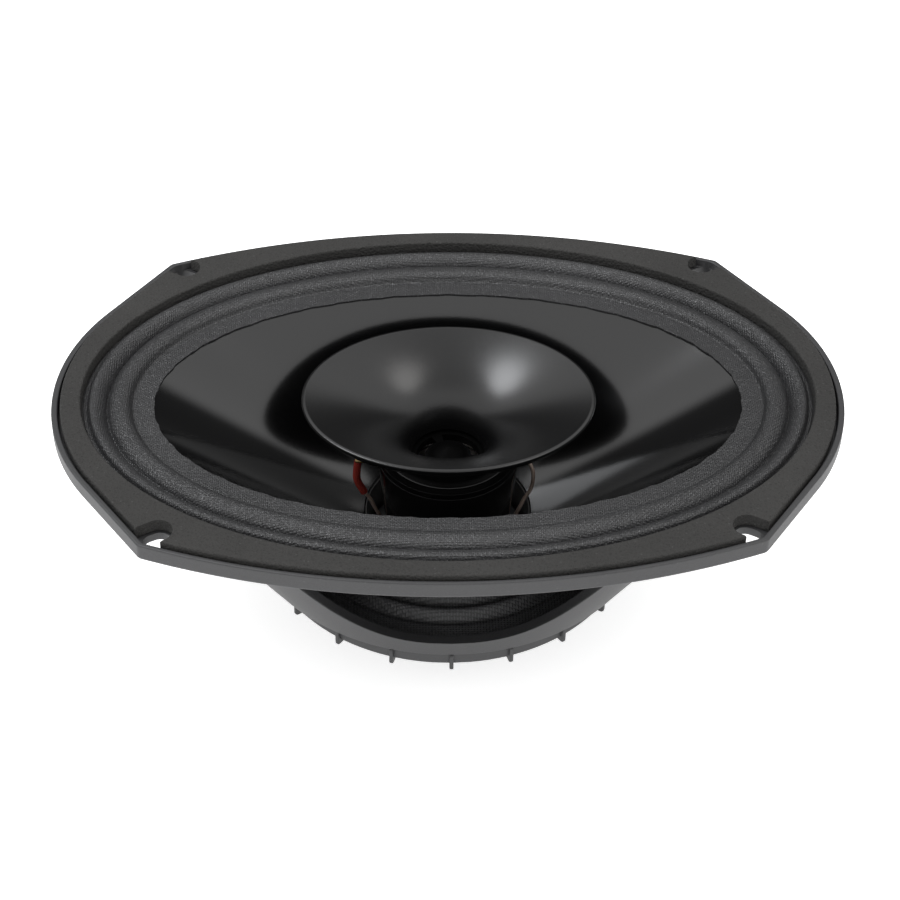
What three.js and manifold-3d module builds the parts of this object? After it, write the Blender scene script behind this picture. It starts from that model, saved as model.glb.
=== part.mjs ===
// Oval 6x9 inch coaxial car speaker with a fixed compression-driver horn.
// Millimetres, +Z towards the listener, +X along the long axis.
// The origin is the centre of the flat rear face that the speaker stands on.
import * as THREE from "three";
import { mergeVertices } from "three/addons/utils/BufferGeometryUtils.js";
import Module from "manifold-3d";

const wasm = await Module();
wasm.setup();

// ---------------------------------------------------------------- driving dimensions

const lipTop = 80;                  // front edge of the flange above the rear face
const gap = 0.3;                    // clearance between pieces that rest on each other
const coarse = 24;                  // segments of small round pieces
const round = 32;                   // segments of the motor's round pieces
const fine = 44;                    // segments of the large oval pieces

const flange = {
  halfLength: 118, halfWidth: 82.3,
  cornerX: 87.4, cornerY: 65.8,     // the four sharp corners of the eight-sided outline
  endRadius: 70,                    // curve round each short end
  rear: -5.2, plateTop: -2.7,
  lipInsetX: 1.9, lipInsetY: 1.3,
};
const wall = {
  topX: 103, topY: 70, bottom: 57,  // the straight wall runs from this oval to this circle
  rimX: 109.2, rimY: 73.8, flareEnd: -11,
  thickness: 2.7, bandTop: -52.4, bottomZ: -57.4,
};
const floorPlate = { top: -55.2, holeRadius: 28.5 };
const shelf = { inner: 49, top: -50.1 };
const windowCut = { topHalf: 56, bottomHalf: 30, topZ: -8, bottomZ: -46, cornerRadius: 15 };
const fin = { count: 20, outer: 58.1, inner: 41.5, width: 1.2, tip: -59.2, top: -53.2 };
const slot = { endX: 78.8, endY: 59.6, angle: 30, width: 7, length: 8.6 };
const gasket = { outerX: 115.3, outerY: 80.3, innerX: 109.3, innerY: 74.4, top: 1.5, notchWidth: 8.6 };

const coneEdge = { rx: 88.7, ry: 53.3, z: -4.0 };
const neck = { radius: 26, z: -48, thickness: 0.9 };
const surround = { thickness: 0.7, crestOne: 0.3, crestTwo: 0.0, groove: -3.6, foot: -1.7 };

const former = { inner: 25.3, outer: 25.6, top: -47, bottom: -66.5 };
const winding = { inner: 25.75, outer: 26.5, top: -55.2, bottom: -65.2 };
const spider = { collar: 25.9, outer: 54.3, z: -49.4, thickness: 0.6, waves: 3, swing: 1.4 };

const gapRing = { inner: 27.3, outer: 40, top: -57.7, bottom: -62.7, screwCircle: 37 };
const screwAngles = [45, 135, 225, 315];
const motorScrew = { shank: 1.5, hole: 2, basketHole: 1.9, head: 2.7, headHeight: 1.9, tip: -55.6 };
const yoke = { outer: 34, inner: 29, floorTop: -71.3, bottom: -76, vent: 10 };
const pole = { radius: 24.7, leadBore: 2, leadAt: 12.5 };
const magnet = { outer: 24, inner: 15.5, top: -63, bottom: -71 };
const rearCap = { outer: 30, inner: 28, top: -76.3, floorTop: -78.6, vent: 12 };
const vent = { screenTop: -78.8, screenBottom: -79.3, holes: 6, holeCircle: 7, holeRadius: 2.4 };
const bolt = { shank: 2.5, clearance: 2.9, head: 4.5, headHeight: 3.4, tip: -42.4 };

const horn = {
  mouthX: 44, mouthY: 34.3, mouthZ: -1.5, rim: 0.9, wall: 1.6, throat: 11, base: -24,
  straight: 0.18, power: 2.6,       // the bell's straight share, and the power of the rest
  neckX: 19.2, neckY: 18.6, neckZ: -18.2, leastRadius: 18,
  skirtRadius: 21.3, skirtTop: -22.4,
};
const housing = {
  top: -24.3, topRadius: 21.5, bottomRadius: 19.6, inner: 18.2, bottom: -46.3, floor: 2.1,
};
const plug = { bottom: -27.5, top: -25, slotInner: 7, slotOuter: 9.8, slots: 3, slotTurn: 1.75 };
const stack = 17.9;                 // outer radius of the pieces inside the treble housing
const board = {
  halfWidth: 16, bottom: -57, top: -39.8, front: 60.2, back: 61.8,
  rivetX: 8, rivetZ: -43.6, screwX: 12, screwZ: -53,
};
const tab = { thickness: 0.8, reach: 9, below: 2.9, above: 3.1 };
const capacitor = { radius: 5.5, halfLength: 11, y: 50, z: -65.4 };
const clip = { width: 5, thickness: 1.2, legTop: 5.9, mouth: Math.PI * 0.1 };
const boss = { halfWidth: 15, inner: 55, top: -47.5 };

// ---------------------------------------------------------------- materials

const finish = (color, roughness, metalness = 0) =>
  new THREE.MeshStandardMaterial({ color, roughness, metalness });

const look = {
  moulded: finish(0x1d1d1f, 0.6),
  foam: finish(0x191817, 0.95),
  coatedCloth: finish(0x222224, 0.8),
  glossyPaper: finish(0x050506, 0.12),
  spiderCloth: finish(0x151515, 0.9),
  foil: finish(0x2a2826, 0.4, 1),
  copper: finish(0xb5653a, 0.35, 1),
  steel: finish(0x3a3b3d, 0.45, 1),
  magnet: finish(0xa8a9ab, 0.3, 1),
  satinBlack: finish(0x0e0e0f, 0.38),
  glossBlack: finish(0x08080a, 0.18),
  titanium: finish(0x8f8d88, 0.3, 1),
  aluminium: finish(0xb9babc, 0.35, 1),
  screw: finish(0x2b2b2d, 0.35, 1),
  brass: finish(0xc9a24c, 0.3, 1),
  tinned: finish(0xc4b9a6, 0.4, 1),
  redSleeve: finish(0xa01f1a, 0.45),
  blackSleeve: finish(0x111111, 0.5),
  phenolic: finish(0x5a3d24, 0.6),
  capacitorSleeve: finish(0x1b2f5e, 0.4),
};

// ---------------------------------------------------------------- geometry helpers

/** Signed volume of an indexed geometry, positive when its faces point outwards. */
function volume(geometry) {
  const corners = geometry.index.array;
  const [a, b, c] = [new THREE.Vector3(), new THREE.Vector3(), new THREE.Vector3()];
  let sum = 0;
  for (let i = 0; i < corners.length; i += 3) {
    a.fromBufferAttribute(geometry.attributes.position, corners[i]);
    b.fromBufferAttribute(geometry.attributes.position, corners[i + 1]);
    c.fromBufferAttribute(geometry.attributes.position, corners[i + 2]);
    sum += a.dot(b.cross(c)) / 6;
  }
  return sum;
}

/** Shared vertices joined, slivers of no area dropped and every face turned outwards. */
function closed(source) {
  const bare = source.clone();
  bare.deleteAttribute("normal");
  bare.deleteAttribute("uv");
  const geometry = mergeVertices(bare, 1e-4);
  const corners = geometry.index.array;
  const kept = [];
  for (let i = 0; i < corners.length; i += 3) {
    const [a, b, c] = [corners[i], corners[i + 1], corners[i + 2]];
    if (a !== b && b !== c && c !== a) kept.push(a, b, c);
  }
  geometry.setIndex(kept);
  if (volume(geometry) < 0) {
    for (let i = 0; i < kept.length; i += 3) {
      [kept[i + 1], kept[i + 2]] = [kept[i + 2], kept[i + 1]];
    }
    geometry.setIndex(kept);
  }
  return geometry;
}

/** A closed geometry as a solid that can be joined and cut. */
function solid(geometry) {
  const ready = closed(geometry);
  return new wasm.Manifold(new wasm.Mesh({
    numProp: 3,
    vertProperties: Float32Array.from(ready.attributes.position.array),
    triVerts: Uint32Array.from(ready.index.array),
  }));
}

/** A finished solid back as a geometry. */
function skin(body) {
  const mesh = body.getMesh();
  const geometry = new THREE.BufferGeometry();
  const places = Float32Array.from(mesh.vertProperties);
  geometry.setAttribute("position", new THREE.BufferAttribute(places, 3));
  geometry.setIndex(Array.from(mesh.triVerts));
  return geometry;
}

/** One body turned from a closed half profile of [radius, height] pairs. */
function turned(profile, segments = coarse) {
  const points = profile.map(([r, z]) => new THREE.Vector2(r, z));
  points.push(points[0].clone());
  return new THREE.LatheGeometry(points, segments).rotateX(Math.PI / 2);
}

/** A plain ring, or a disc where inner is 0. */
function ring(inner, outer, bottom, top, segments = coarse) {
  return turned([[inner, bottom], [outer, bottom], [outer, top], [inner, top]], segments);
}

/**
 * A turned body whose stations are ovals: each station is {rx, ry, z} with an optional offset
 * along the oval's normal, and the stations run round the closed section.
 */
function ovalRing(stations, segments = fine) {
  const loop = [...stations, stations[0]];
  const geometry = turned(stations.map(({ rx, z }) => [rx, z]), segments);
  const position = geometry.attributes.position;
  for (let i = 0; i < position.count; i += 1) {
    const { rx, ry, z, offset = 0 } = loop[i % loop.length];
    const angle = 2 * Math.PI * (Math.floor(i / loop.length) % segments) / segments;
    const [c, s] = [Math.cos(angle), Math.sin(angle)];
    const length = Math.hypot(c / rx, s / ry);
    position.setXYZ(i, rx * c + offset * c / rx / length, ry * s + offset * s / ry / length, z);
  }
  return geometry;
}

/** A flat outline pushed up from bottom to top. */
function plate(outline, bottom, top, curveSegments = 8) {
  const options = { depth: top - bottom, bevelEnabled: false, curveSegments };
  return new THREE.ExtrudeGeometry(outline, options).translate(0, 0, bottom);
}

/** An axis-aligned block between two corners. */
function block([x0, y0, z0], [x1, y1, z1]) {
  const geometry = new THREE.BoxGeometry(x1 - x0, y1 - y0, z1 - z0);
  return geometry.translate((x0 + x1) / 2, (y0 + y1) / 2, (z0 + z1) / 2);
}

/** A round wire along a smooth curve through hand-set points. */
function wire(points, radius, steps) {
  const knots = points.map((p) => new THREE.Vector3(...p));
  const route = new THREE.CatmullRomCurve3(knots, false, "centripetal");
  const section = new THREE.Shape(Array.from({ length: 8 }, (_, i) => {
    const angle = (i * Math.PI) / 4;
    return new THREE.Vector2(radius * Math.cos(angle), radius * Math.sin(angle));
  }));
  return new THREE.ExtrudeGeometry(section, { steps, extrudePath: route, bevelEnabled: false });
}

/** The eight-sided flange outline: shallow arcs on the long sides, pointed-round short ends. */
function flangeOutline(halfLength, halfWidth) {
  const sx = halfLength / flange.halfLength;
  const sy = halfWidth / flange.halfWidth;
  const rise = flange.halfWidth - flange.cornerY;
  const longRadius = (flange.cornerX ** 2 + rise ** 2) / (2 * rise);
  const longCentre = flange.halfWidth - longRadius;
  const half = Math.asin(flange.cornerX / longRadius);
  const endCentre = flange.halfLength - flange.endRadius;
  const reach = Math.hypot(flange.cornerX - endCentre, flange.cornerY);
  const toCorner = Math.atan2(flange.cornerY, flange.cornerX - endCentre);
  const touch = toCorner - Math.acos(flange.endRadius / reach);
  const points = [];
  const quarter = (mx, my) => {
    const along = [];
    for (let i = 0; i <= 3; i += 1) {
      const angle = (touch * i) / 3;
      along.push([endCentre + flange.endRadius * Math.cos(angle), flange.endRadius * Math.sin(angle)]);
    }
    for (let i = 0; i <= 3; i += 1) {
      const angle = half * (1 - i / 3);
      along.push([longRadius * Math.sin(angle), longCentre + longRadius * Math.cos(angle)]);
    }
    return along.map(([x, y]) => new THREE.Vector2(mx * x * sx, my * y * sy));
  };
  points.push(...quarter(1, 1).slice(0, -1), ...quarter(-1, 1).reverse().slice(0, -1));
  points.push(...quarter(-1, -1).slice(0, -1), ...quarter(1, -1).reverse().slice(0, -1));
  return new THREE.Shape(points);
}

/** An ellipse as a hole with the same corners as an ovalRing of that size. */
function ovalHole(rx, ry, segments = fine) {
  return new THREE.Path(Array.from({ length: segments }, (_, i) => {
    const angle = -(2 * Math.PI * i) / segments;
    return new THREE.Vector2(rx * Math.cos(angle), ry * Math.sin(angle));
  }));
}

/** A slot with a round inner end, lying along a corner's axis and as long as asked. */
function cornerSlot(mx, my, start, length, width, bottom, top, openEnd) {
  const outline = new THREE.Shape();
  const r = width / 2;
  outline.absarc(r, 0, r, Math.PI / 2, (3 * Math.PI) / 2, false);
  if (openEnd) {
    outline.lineTo(length, -r);
    outline.lineTo(length, r);
  } else {
    outline.absarc(length - r, 0, r, -Math.PI / 2, Math.PI / 2, false);
  }
  const angle = THREE.MathUtils.degToRad(slot.angle);
  const geometry = plate(outline, bottom, top, 5).translate(-start, 0, 0).rotateZ(angle);
  geometry.translate(slot.endX, slot.endY, 0);
  return solid(geometry).scale([mx, my, 1]);
}

/** Where the four screws of the motor stand. */
function screwPlaces() {
  return screwAngles.map((angle) => {
    const a = THREE.MathUtils.degToRad(angle);
    return [gapRing.screwCircle * Math.cos(a), gapRing.screwCircle * Math.sin(a)];
  });
}

const corners = [[1, 1], [-1, 1], [-1, -1], [1, -1]];
const speaker = new THREE.Group();
speaker.position.z = lipTop;

/** Adds one piece of the speaker as its own named mesh. */
function piece(name, geometry, material) {
  const mesh = new THREE.Mesh(closed(geometry), material);
  mesh.name = name;
  speaker.add(mesh);
  return mesh;
}

// ---------------------------------------------------------------- basket

/** Half-axes of the outside of the basket's wall at a height. */
function wallAt(z) {
  const t = (flange.rear - z) / (flange.rear - wall.bottomZ);
  return {
    rx: wall.topX + (wall.bottom - wall.topX) * t,
    ry: wall.topY + (wall.bottom - wall.topY) * t,
    z,
  };
}

/** The same station moved inwards by the wall's thickness. */
function inside(station, by = wall.thickness) {
  return { rx: station.rx - by, ry: station.ry - by, z: station.z };
}

function basketShell() {
  const rim = { rx: wall.rimX, ry: wall.rimY, z: flange.rear };
  const top = { ...rim, z: flange.plateTop };
  const outer = [rim, wallAt(wall.flareEnd), wallAt(-30), wallAt(wall.bandTop)];
  const wallInside = [wallAt(shelf.top), wallAt(-30), wallAt(wall.flareEnd)];
  const shellInner = [...wallInside, rim, top].map((s) => inside(s));
  const disc = (radius, z) => ({ rx: radius, ry: radius, z });
  return solid(ovalRing([
    top, ...outer,
    disc(wall.bottom, wall.bandTop), disc(wall.bottom, wall.bottomZ),
    disc(floorPlate.holeRadius, wall.bottomZ), disc(floorPlate.holeRadius, floorPlate.top),
    disc(shelf.inner, floorPlate.top), disc(shelf.inner, shelf.top),
    ...shellInner,
  ]));
}

function flangePlate() {
  const base = flangeOutline(flange.halfLength, flange.halfWidth);
  base.holes.push(ovalHole(wall.rimX - 1, wall.rimY - 1));
  const lip = flangeOutline(flange.halfLength, flange.halfWidth);
  const inset = flangeOutline(flange.halfLength - flange.lipInsetX, flange.halfWidth - flange.lipInsetY);
  lip.holes.push(inset);
  return solid(plate(base, flange.rear, flange.plateTop)).add(solid(plate(lip, flange.plateTop - 0.1, 0)));
}

/** A window through a long side: wide at the flange and rounded where it meets the ring. */
function windowSolid(side) {
  const { topHalf, bottomHalf, topZ, bottomZ, cornerRadius } = windowCut;
  const outline = new THREE.Shape();
  const shoulder = bottomZ + cornerRadius;
  outline.moveTo(-topHalf, topZ);
  outline.lineTo(-topHalf * 0.8, shoulder);
  outline.bezierCurveTo(-topHalf * 0.74, bottomZ + 7, -bottomHalf, bottomZ, 0, bottomZ);
  outline.bezierCurveTo(bottomHalf, bottomZ, topHalf * 0.74, bottomZ + 7, topHalf * 0.8, shoulder);
  outline.lineTo(topHalf, topZ);
  const geometry = plate(outline, 0, 60, 5).rotateX(Math.PI / 2);
  geometry.translate(0, side > 0 ? 95 : -35, 0);
  return solid(geometry);
}

function finSolid(index) {
  const half = fin.width / 2;
  const slice = block([fin.inner, -half, fin.tip], [fin.outer, half, wall.bottomZ + 0.5]);
  const edge = block([wall.bottom - 1, -half, fin.tip], [fin.outer, half, fin.top]);
  const angle = (360 * index) / fin.count + 90;
  return solid(slice).add(solid(edge)).rotate([0, 0, angle]);
}

function basket() {
  let body = basketShell().add(flangePlate());
  for (let i = 0; i < fin.count; i += 1) {
    body = body.add(finSolid(i));
  }
  const low = [-boss.halfWidth, boss.inner, wall.bottomZ];
  body = body.add(solid(block(low, [boss.halfWidth, board.front - gap, boss.top])));
  body = body.subtract(windowSolid(1)).subtract(windowSolid(-1));
  for (const [mx, my] of corners) {
    body = body.subtract(cornerSlot(mx, my, 0, slot.length, slot.width, flange.rear - 1, 1, false));
  }
  for (const [x, y] of screwPlaces()) {
    const hole = solid(ring(0, motorScrew.basketHole, wall.bottomZ - 1, floorPlate.top + 1, 10));
    body = body.subtract(hole.translate([x, y, 0]));
  }
  for (const x of [-board.screwX, board.screwX]) {
    const hole = ring(0, 1.4, 0, 5, 8).rotateX(Math.PI / 2);
    body = body.subtract(solid(hole.translate(x, board.front + 1, board.screwZ)));
  }
  return skin(body);
}

// ---------------------------------------------------------------- cone side, moving and soft pieces

function frontGasket() {
  const outline = flangeOutline(gasket.outerX, gasket.outerY);
  outline.holes.push(ovalHole(gasket.innerX, gasket.innerY));
  let body = solid(plate(outline, flange.plateTop + gap, gasket.top));
  for (const [mx, my] of corners) {
    body = body.subtract(cornerSlot(mx, my, 0.6, 25, gasket.notchWidth, flange.plateTop - 1, 3, true));
  }
  return skin(body);
}

/** The two rolls of the surround, as heights over the distance out from the cone's edge. */
function surroundGeometry() {
  const { thickness, crestOne, crestTwo, groove, foot } = surround;
  const flat = coneEdge.z + gap + thickness;
  const tops = [
    [-0.8, flat], [5.8, flat], [6.9, crestTwo - 1.6], [9.6, crestTwo], [12.2, groove + 1],
    [13.2, groove], [14.2, groove + 1], [16.4, crestOne], [18.6, foot - 0.2], [19.9, foot],
  ];
  const stations = tops.map(([offset, z]) => ({ rx: coneEdge.rx, ry: coneEdge.ry, offset, z }));
  const lower = [...stations].reverse().map((s) => ({ ...s, z: s.z - thickness }));
  return ovalRing([...stations, ...lower]);
}

function coneGeometry() {
  const edge = { rx: coneEdge.rx, ry: coneEdge.ry, z: coneEdge.z };
  const middle = { rx: 57, ry: 39.4, z: -26.4 };
  const top = [{ rx: neck.radius, ry: neck.radius, z: neck.z + 1.6 }, middle, edge];
  const flat = { rx: edge.rx, ry: edge.ry, z: edge.z - neck.thickness };
  const under = { rx: middle.rx + 0.4, ry: middle.ry + 0.7, z: middle.z - 1.2 };
  const foot = { rx: neck.radius + 0.7, ry: neck.radius + 0.8, z: neck.z };
  const inner = { rx: neck.radius, ry: neck.radius, z: neck.z };
  return ovalRing([...top, flat, under, foot, inner]);
}

function spiderGeometry() {
  const { collar, outer, z, thickness, waves, swing } = spider;
  const glueFlat = 5.6;
  const start = collar + 1.6;
  const pitch = (outer - glueFlat - start) / waves;
  const tops = [[collar, z + 1.2], [collar + 0.7, z]];
  for (let i = 0; i < waves; i += 1) {
    tops.push([start + pitch * (i + 0.25), z + swing], [start + pitch * (i + 0.75), z - swing]);
  }
  tops.push([outer - glueFlat, z]);
  tops.push([outer, z]);
  const lower = [...tops].reverse().map(([r, height]) => [r, height - thickness]);
  return turned([...tops, ...lower], round);
}

function paperParts() {
  piece("basket", basket(), look.moulded);
  piece("front_gasket", frontGasket(), look.foam);
  piece("surround", surroundGeometry(), look.coatedCloth);
  piece("cone", coneGeometry(), look.glossyPaper);
  piece("spider", spiderGeometry(), look.spiderCloth);
  const tube = ring(former.inner, former.outer, former.bottom, former.top, round);
  piece("voice_coil_former", tube, look.foil);
  const turns = ring(winding.inner, winding.outer, winding.bottom, winding.top, round);
  piece("voice_coil_winding", turns, look.copper);
}

// ---------------------------------------------------------------- woofer motor

function motorScrewProfile() {
  const { shank, head, headHeight, tip } = motorScrew;
  const seat = gapRing.bottom - gap;
  return [
    [0, tip], [shank, tip], [shank, seat], [head, seat], [head, seat - headHeight], [0, seat - headHeight],
  ];
}

function motorParts() {
  let plateBody = solid(ring(gapRing.inner, gapRing.outer, gapRing.bottom, gapRing.top, round));
  screwPlaces().forEach(([x, y], index) => {
    const hole = solid(ring(0, motorScrew.hole, gapRing.bottom - 1, gapRing.top + 1, 10));
    plateBody = plateBody.subtract(hole.translate([x, y, 0]));
    const screw = turned(motorScrewProfile(), 10).translate(x, y, 0);
    piece(`motor_screw_${index + 1}`, screw, look.screw);
  });
  piece("gap_ring", skin(plateBody), look.steel);

  const cup = [
    [yoke.vent, yoke.floorTop], [yoke.inner, yoke.floorTop], [yoke.inner, gapRing.bottom - gap],
    [yoke.outer, gapRing.bottom - gap], [yoke.outer, yoke.bottom + 3], [yoke.outer - 3, yoke.bottom],
    [yoke.vent, yoke.bottom],
  ];
  piece("yoke_cup", turned(cup, round), look.steel);
  piece("magnet", ring(magnet.inner, magnet.outer, magnet.bottom, magnet.top, round), look.magnet);

  let poleBody = solid(ring(bolt.clearance, pole.radius, gapRing.bottom, gapRing.top, round));
  for (const x of [-pole.leadAt, pole.leadAt]) {
    const bore = solid(ring(0, pole.leadBore, gapRing.bottom - 1, gapRing.top + 1, 8));
    poleBody = poleBody.subtract(bore.translate([x, 0, 0]));
  }
  piece("pole_plate", skin(poleBody), look.steel);

  const cap = [
    [rearCap.vent, -lipTop], [rearCap.outer - 1.2, -lipTop], [rearCap.outer, -lipTop + 1.2],
    [rearCap.outer, rearCap.top], [rearCap.inner, rearCap.top], [rearCap.inner, rearCap.floorTop],
    [rearCap.vent, rearCap.floorTop],
  ];
  const notchLow = [-4, rearCap.inner - 1, rearCap.floorTop + 0.2];
  const notch = solid(block(notchLow, [4, rearCap.outer + 1, rearCap.top + 1]));
  piece("rear_cap", skin(solid(turned(cap, round)).subtract(notch)), look.moulded);

  const edge = rearCap.vent - gap;
  const screen = new THREE.Shape(new THREE.EllipseCurve(0, 0, edge, edge).getPoints(coarse));
  for (let i = 0; i < vent.holes; i += 1) {
    const a = (2 * Math.PI * i) / vent.holes;
    const [x, y] = [vent.holeCircle * Math.cos(a), vent.holeCircle * Math.sin(a)];
    screen.holes.push(new THREE.Path().absarc(x, y, vent.holeRadius, 0, 2 * Math.PI, true));
  }
  piece("vent_screen", plate(screen, vent.screenBottom, vent.screenTop, 4), look.screw);
}

// ---------------------------------------------------------------- treble horn and compression driver

/** The bell's inside: a flare from the round throat to the oval mouth, with a skirt behind it. */
function hornGeometry() {
  const { mouthX, mouthY, mouthZ, rim, wall: thick, throat, base } = horn;
  const heights = [0, 0.3, 0.52, 0.7, 0.84, 0.94, 1];
  const grown = (t) => horn.straight * t + (1 - horn.straight) * t ** horn.power;
  const flare = (t, mouth) => throat + (mouth - rim - throat) * grown(t);
  const inner = heights.map((t) => ({
    rx: flare(t, mouthX), ry: flare(t, mouthY), z: base + (mouthZ - base) * t,
  }));
  const lip = [
    { rx: mouthX, ry: mouthY, z: mouthZ - 0.3 },
    { rx: mouthX, ry: mouthY, z: mouthZ - 1.3 },
  ];
  const outer = inner.slice(3, -1).reverse().map((station, i) => {
    const push = thick * (1.1 + 0.2 * (1 - (i + 1) / inner.length));
    const least = horn.leastRadius - 1.2 * i;
    return {
      rx: Math.max(station.rx + push * 0.8, least),
      ry: Math.max(station.ry + push * 0.8, least),
      z: station.z - push,
    };
  });
  const foot = [
    { rx: horn.neckX, ry: horn.neckY, z: horn.neckZ },
    { rx: horn.skirtRadius, ry: horn.skirtRadius, z: horn.skirtTop },
    { rx: horn.skirtRadius, ry: horn.skirtRadius, z: base },
  ];
  return ovalRing([...inner, ...lip, ...outer, ...foot], fine);
}

function phasePlug() {
  const disc = [
    [0, plug.bottom], [stack, plug.bottom], [stack, plug.top], [6, plug.top], [4.4, -23.6], [2, -22.3],
    [0, -21.6],
  ];
  let body = solid(turned(disc, coarse));
  for (let i = 0; i < plug.slots; i += 1) {
    const outline = new THREE.Shape();
    const from = (i * 2 * Math.PI) / plug.slots;
    outline.absarc(0, 0, plug.slotOuter, from, from + plug.slotTurn, false);
    outline.absarc(0, 0, plug.slotInner, from + plug.slotTurn, from, true);
    body = body.subtract(solid(plate(outline, plug.bottom - 1.5, plug.top + 1, 6)));
  }
  return skin(body);
}

function trebleParts() {
  piece("horn", hornGeometry(), look.satinBlack);
  piece("phase_plug", phasePlug(), look.satinBlack);

  const { top, topRadius, bottomRadius, inner, bottom, floor } = housing;
  const cup = [
    [bolt.clearance, bottom], [bottomRadius, bottom], [bottomRadius + 0.9, bottom + 8], [topRadius, top - 2],
    [topRadius, top], [inner, top], [inner, bottom + floor], [bolt.clearance, bottom + floor],
  ];
  piece("treble_housing", turned(cup, round), look.glossBlack);
  piece("treble_clamp_ring", ring(14.6, stack, -31.2, -27.8), look.aluminium);

  const dome = [
    [0, -28.7], [5, -29.0], [9, -30.0], [12.7, -31.5], [12.9, -31.8],
    [12.4, -31.8], [9, -30.4], [5, -29.4], [0, -29.1],
  ];
  piece("treble_dome", turned(dome), look.titanium);
  piece("treble_voice_coil", ring(12.75, 13.1, -36, -32.1), look.copper);
  const roll = [
    [13.2, -31.5], [14, -30.9], [14.4, -31.5], [stack, -31.5], [stack, -31.9], [14.2, -31.9], [13.2, -31.9],
  ];
  piece("treble_suspension", turned(roll), look.titanium);

  piece("treble_gap_ring", ring(13.6, stack, -35.2, -32.2), look.steel);
  piece("treble_pole", ring(0, 12.2, -35.2, -32.6), look.steel);
  piece("treble_magnet", ring(0, 11.8, -39.5, -35.5), look.magnet);
  const yokeProfile = [
    [bolt.clearance, -43.9], [stack, -43.9], [stack, -35.5], [14.2, -35.5], [14.2, -39.8],
    [bolt.clearance, -39.8],
  ];
  piece("treble_yoke", turned(yokeProfile), look.steel);

  piece("treble_post", ring(bolt.clearance, 9, gapRing.top + gap, bottom - gap), look.aluminium);
  const headTop = gapRing.bottom - gap;
  const screwProfile = [
    [0, bolt.tip], [bolt.shank, bolt.tip], [bolt.shank, headTop], [bolt.head, headTop],
    [bolt.head, headTop - bolt.headHeight], [0, headTop - bolt.headHeight],
  ];
  piece("treble_bolt", turned(screwProfile, 12), look.screw);
}

// ---------------------------------------------------------------- wiring and terminals

/** An L-shaped spade tab: its foot lies on the board and its blade points away from the basket. */
function spadeTab(x, width) {
  const outline = new THREE.Shape();
  const foot = board.back + gap;
  const [low, high] = [board.rivetZ - tab.below, board.rivetZ + tab.above];
  outline.moveTo(foot, low);
  outline.lineTo(foot + tab.thickness, low);
  outline.lineTo(foot + tab.thickness, high - tab.thickness);
  outline.lineTo(foot + tab.reach, high - tab.thickness);
  outline.lineTo(foot + tab.reach, high);
  outline.lineTo(foot, high);
  const geometry = new THREE.ExtrudeGeometry(outline, { depth: width, bevelEnabled: false });
  geometry.rotateX(Math.PI / 2).rotateZ(Math.PI / 2).translate(x - width / 2, 0, 0);
  return geometry;
}

/** A rivet along Y with a head at each end. */
function rivet(x, z, radius, head, y0, y1) {
  const profile = [
    [0, 0], [head, 0], [head, 0.6], [radius, 0.6], [radius, y1 - y0 - 0.6], [head, y1 - y0 - 0.6],
    [head, y1 - y0], [0, y1 - y0],
  ];
  return turned(profile, 10).rotateX(-Math.PI / 2).translate(x, y0, z);
}

function terminalParts() {
  const holeAt = (x, z, radius) => {
    const geometry = ring(0, radius, 0, 6, 8).rotateX(-Math.PI / 2).translate(x, board.front - 2, z);
    return solid(geometry);
  };
  const low = [-board.halfWidth, board.front, board.bottom];
  let body = solid(block(low, [board.halfWidth, board.back, board.top]));
  for (const x of [-board.rivetX, board.rivetX]) {
    body = body.subtract(holeAt(x, board.rivetZ, 1.35));
  }
  for (const x of [-board.screwX, board.screwX]) {
    body = body.subtract(holeAt(x, board.screwZ, 1.5));
  }
  piece("terminal_board", skin(body), look.phenolic);

  const tabs = [["positive", board.rivetX, 6.3], ["negative", -board.rivetX, 4.8]];
  const [rivetFront, rivetBack] = [board.front - gap - 0.6, board.back + 2 * gap + 1.4];
  for (const [name, x, width] of tabs) {
    const blade = solid(spadeTab(x, width)).subtract(holeAt(x, board.rivetZ, 1.35));
    piece(`terminal_${name}`, skin(blade), look.brass);
    const pin = rivet(x, board.rivetZ, 1.1, 2, rivetFront, rivetBack);
    piece(`terminal_rivet_${name}`, pin, look.brass);
  }
  [-board.screwX, board.screwX].forEach((x, index) => {
    const profile = [[0, 0], [1.2, 0], [1.2, 4.6], [2.4, 4.6], [2.4, 6], [0, 6]];
    const screw = turned(profile, 10).rotateX(-Math.PI / 2);
    screw.translate(x, board.back + gap - 4.6, board.screwZ);
    piece(`board_screw_${index + 1}`, screw, look.screw);
  });
}

/** The strap under the capacitor, with a straight leg up each side. */
function clipGeometry() {
  const strap = new THREE.Shape();
  const r = capacitor.radius + gap;
  const outer = r + clip.thickness;
  strap.absarc(0, 0, outer, -clip.mouth, Math.PI + clip.mouth, true);
  strap.lineTo(-outer, clip.legTop);
  strap.lineTo(-r, clip.legTop);
  strap.lineTo(-r * Math.cos(clip.mouth), r * Math.sin(clip.mouth));
  strap.absarc(0, 0, r, Math.PI + clip.mouth, -clip.mouth, false);
  strap.lineTo(r, clip.legTop);
  strap.lineTo(outer, clip.legTop);
  const options = { depth: clip.width, bevelEnabled: false, curveSegments: 10 };
  const geometry = new THREE.ExtrudeGeometry(strap, options);
  geometry.rotateX(Math.PI / 2).rotateZ(Math.PI / 2);
  return geometry.translate(-clip.width / 2, capacitor.y, capacitor.z);
}

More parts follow.
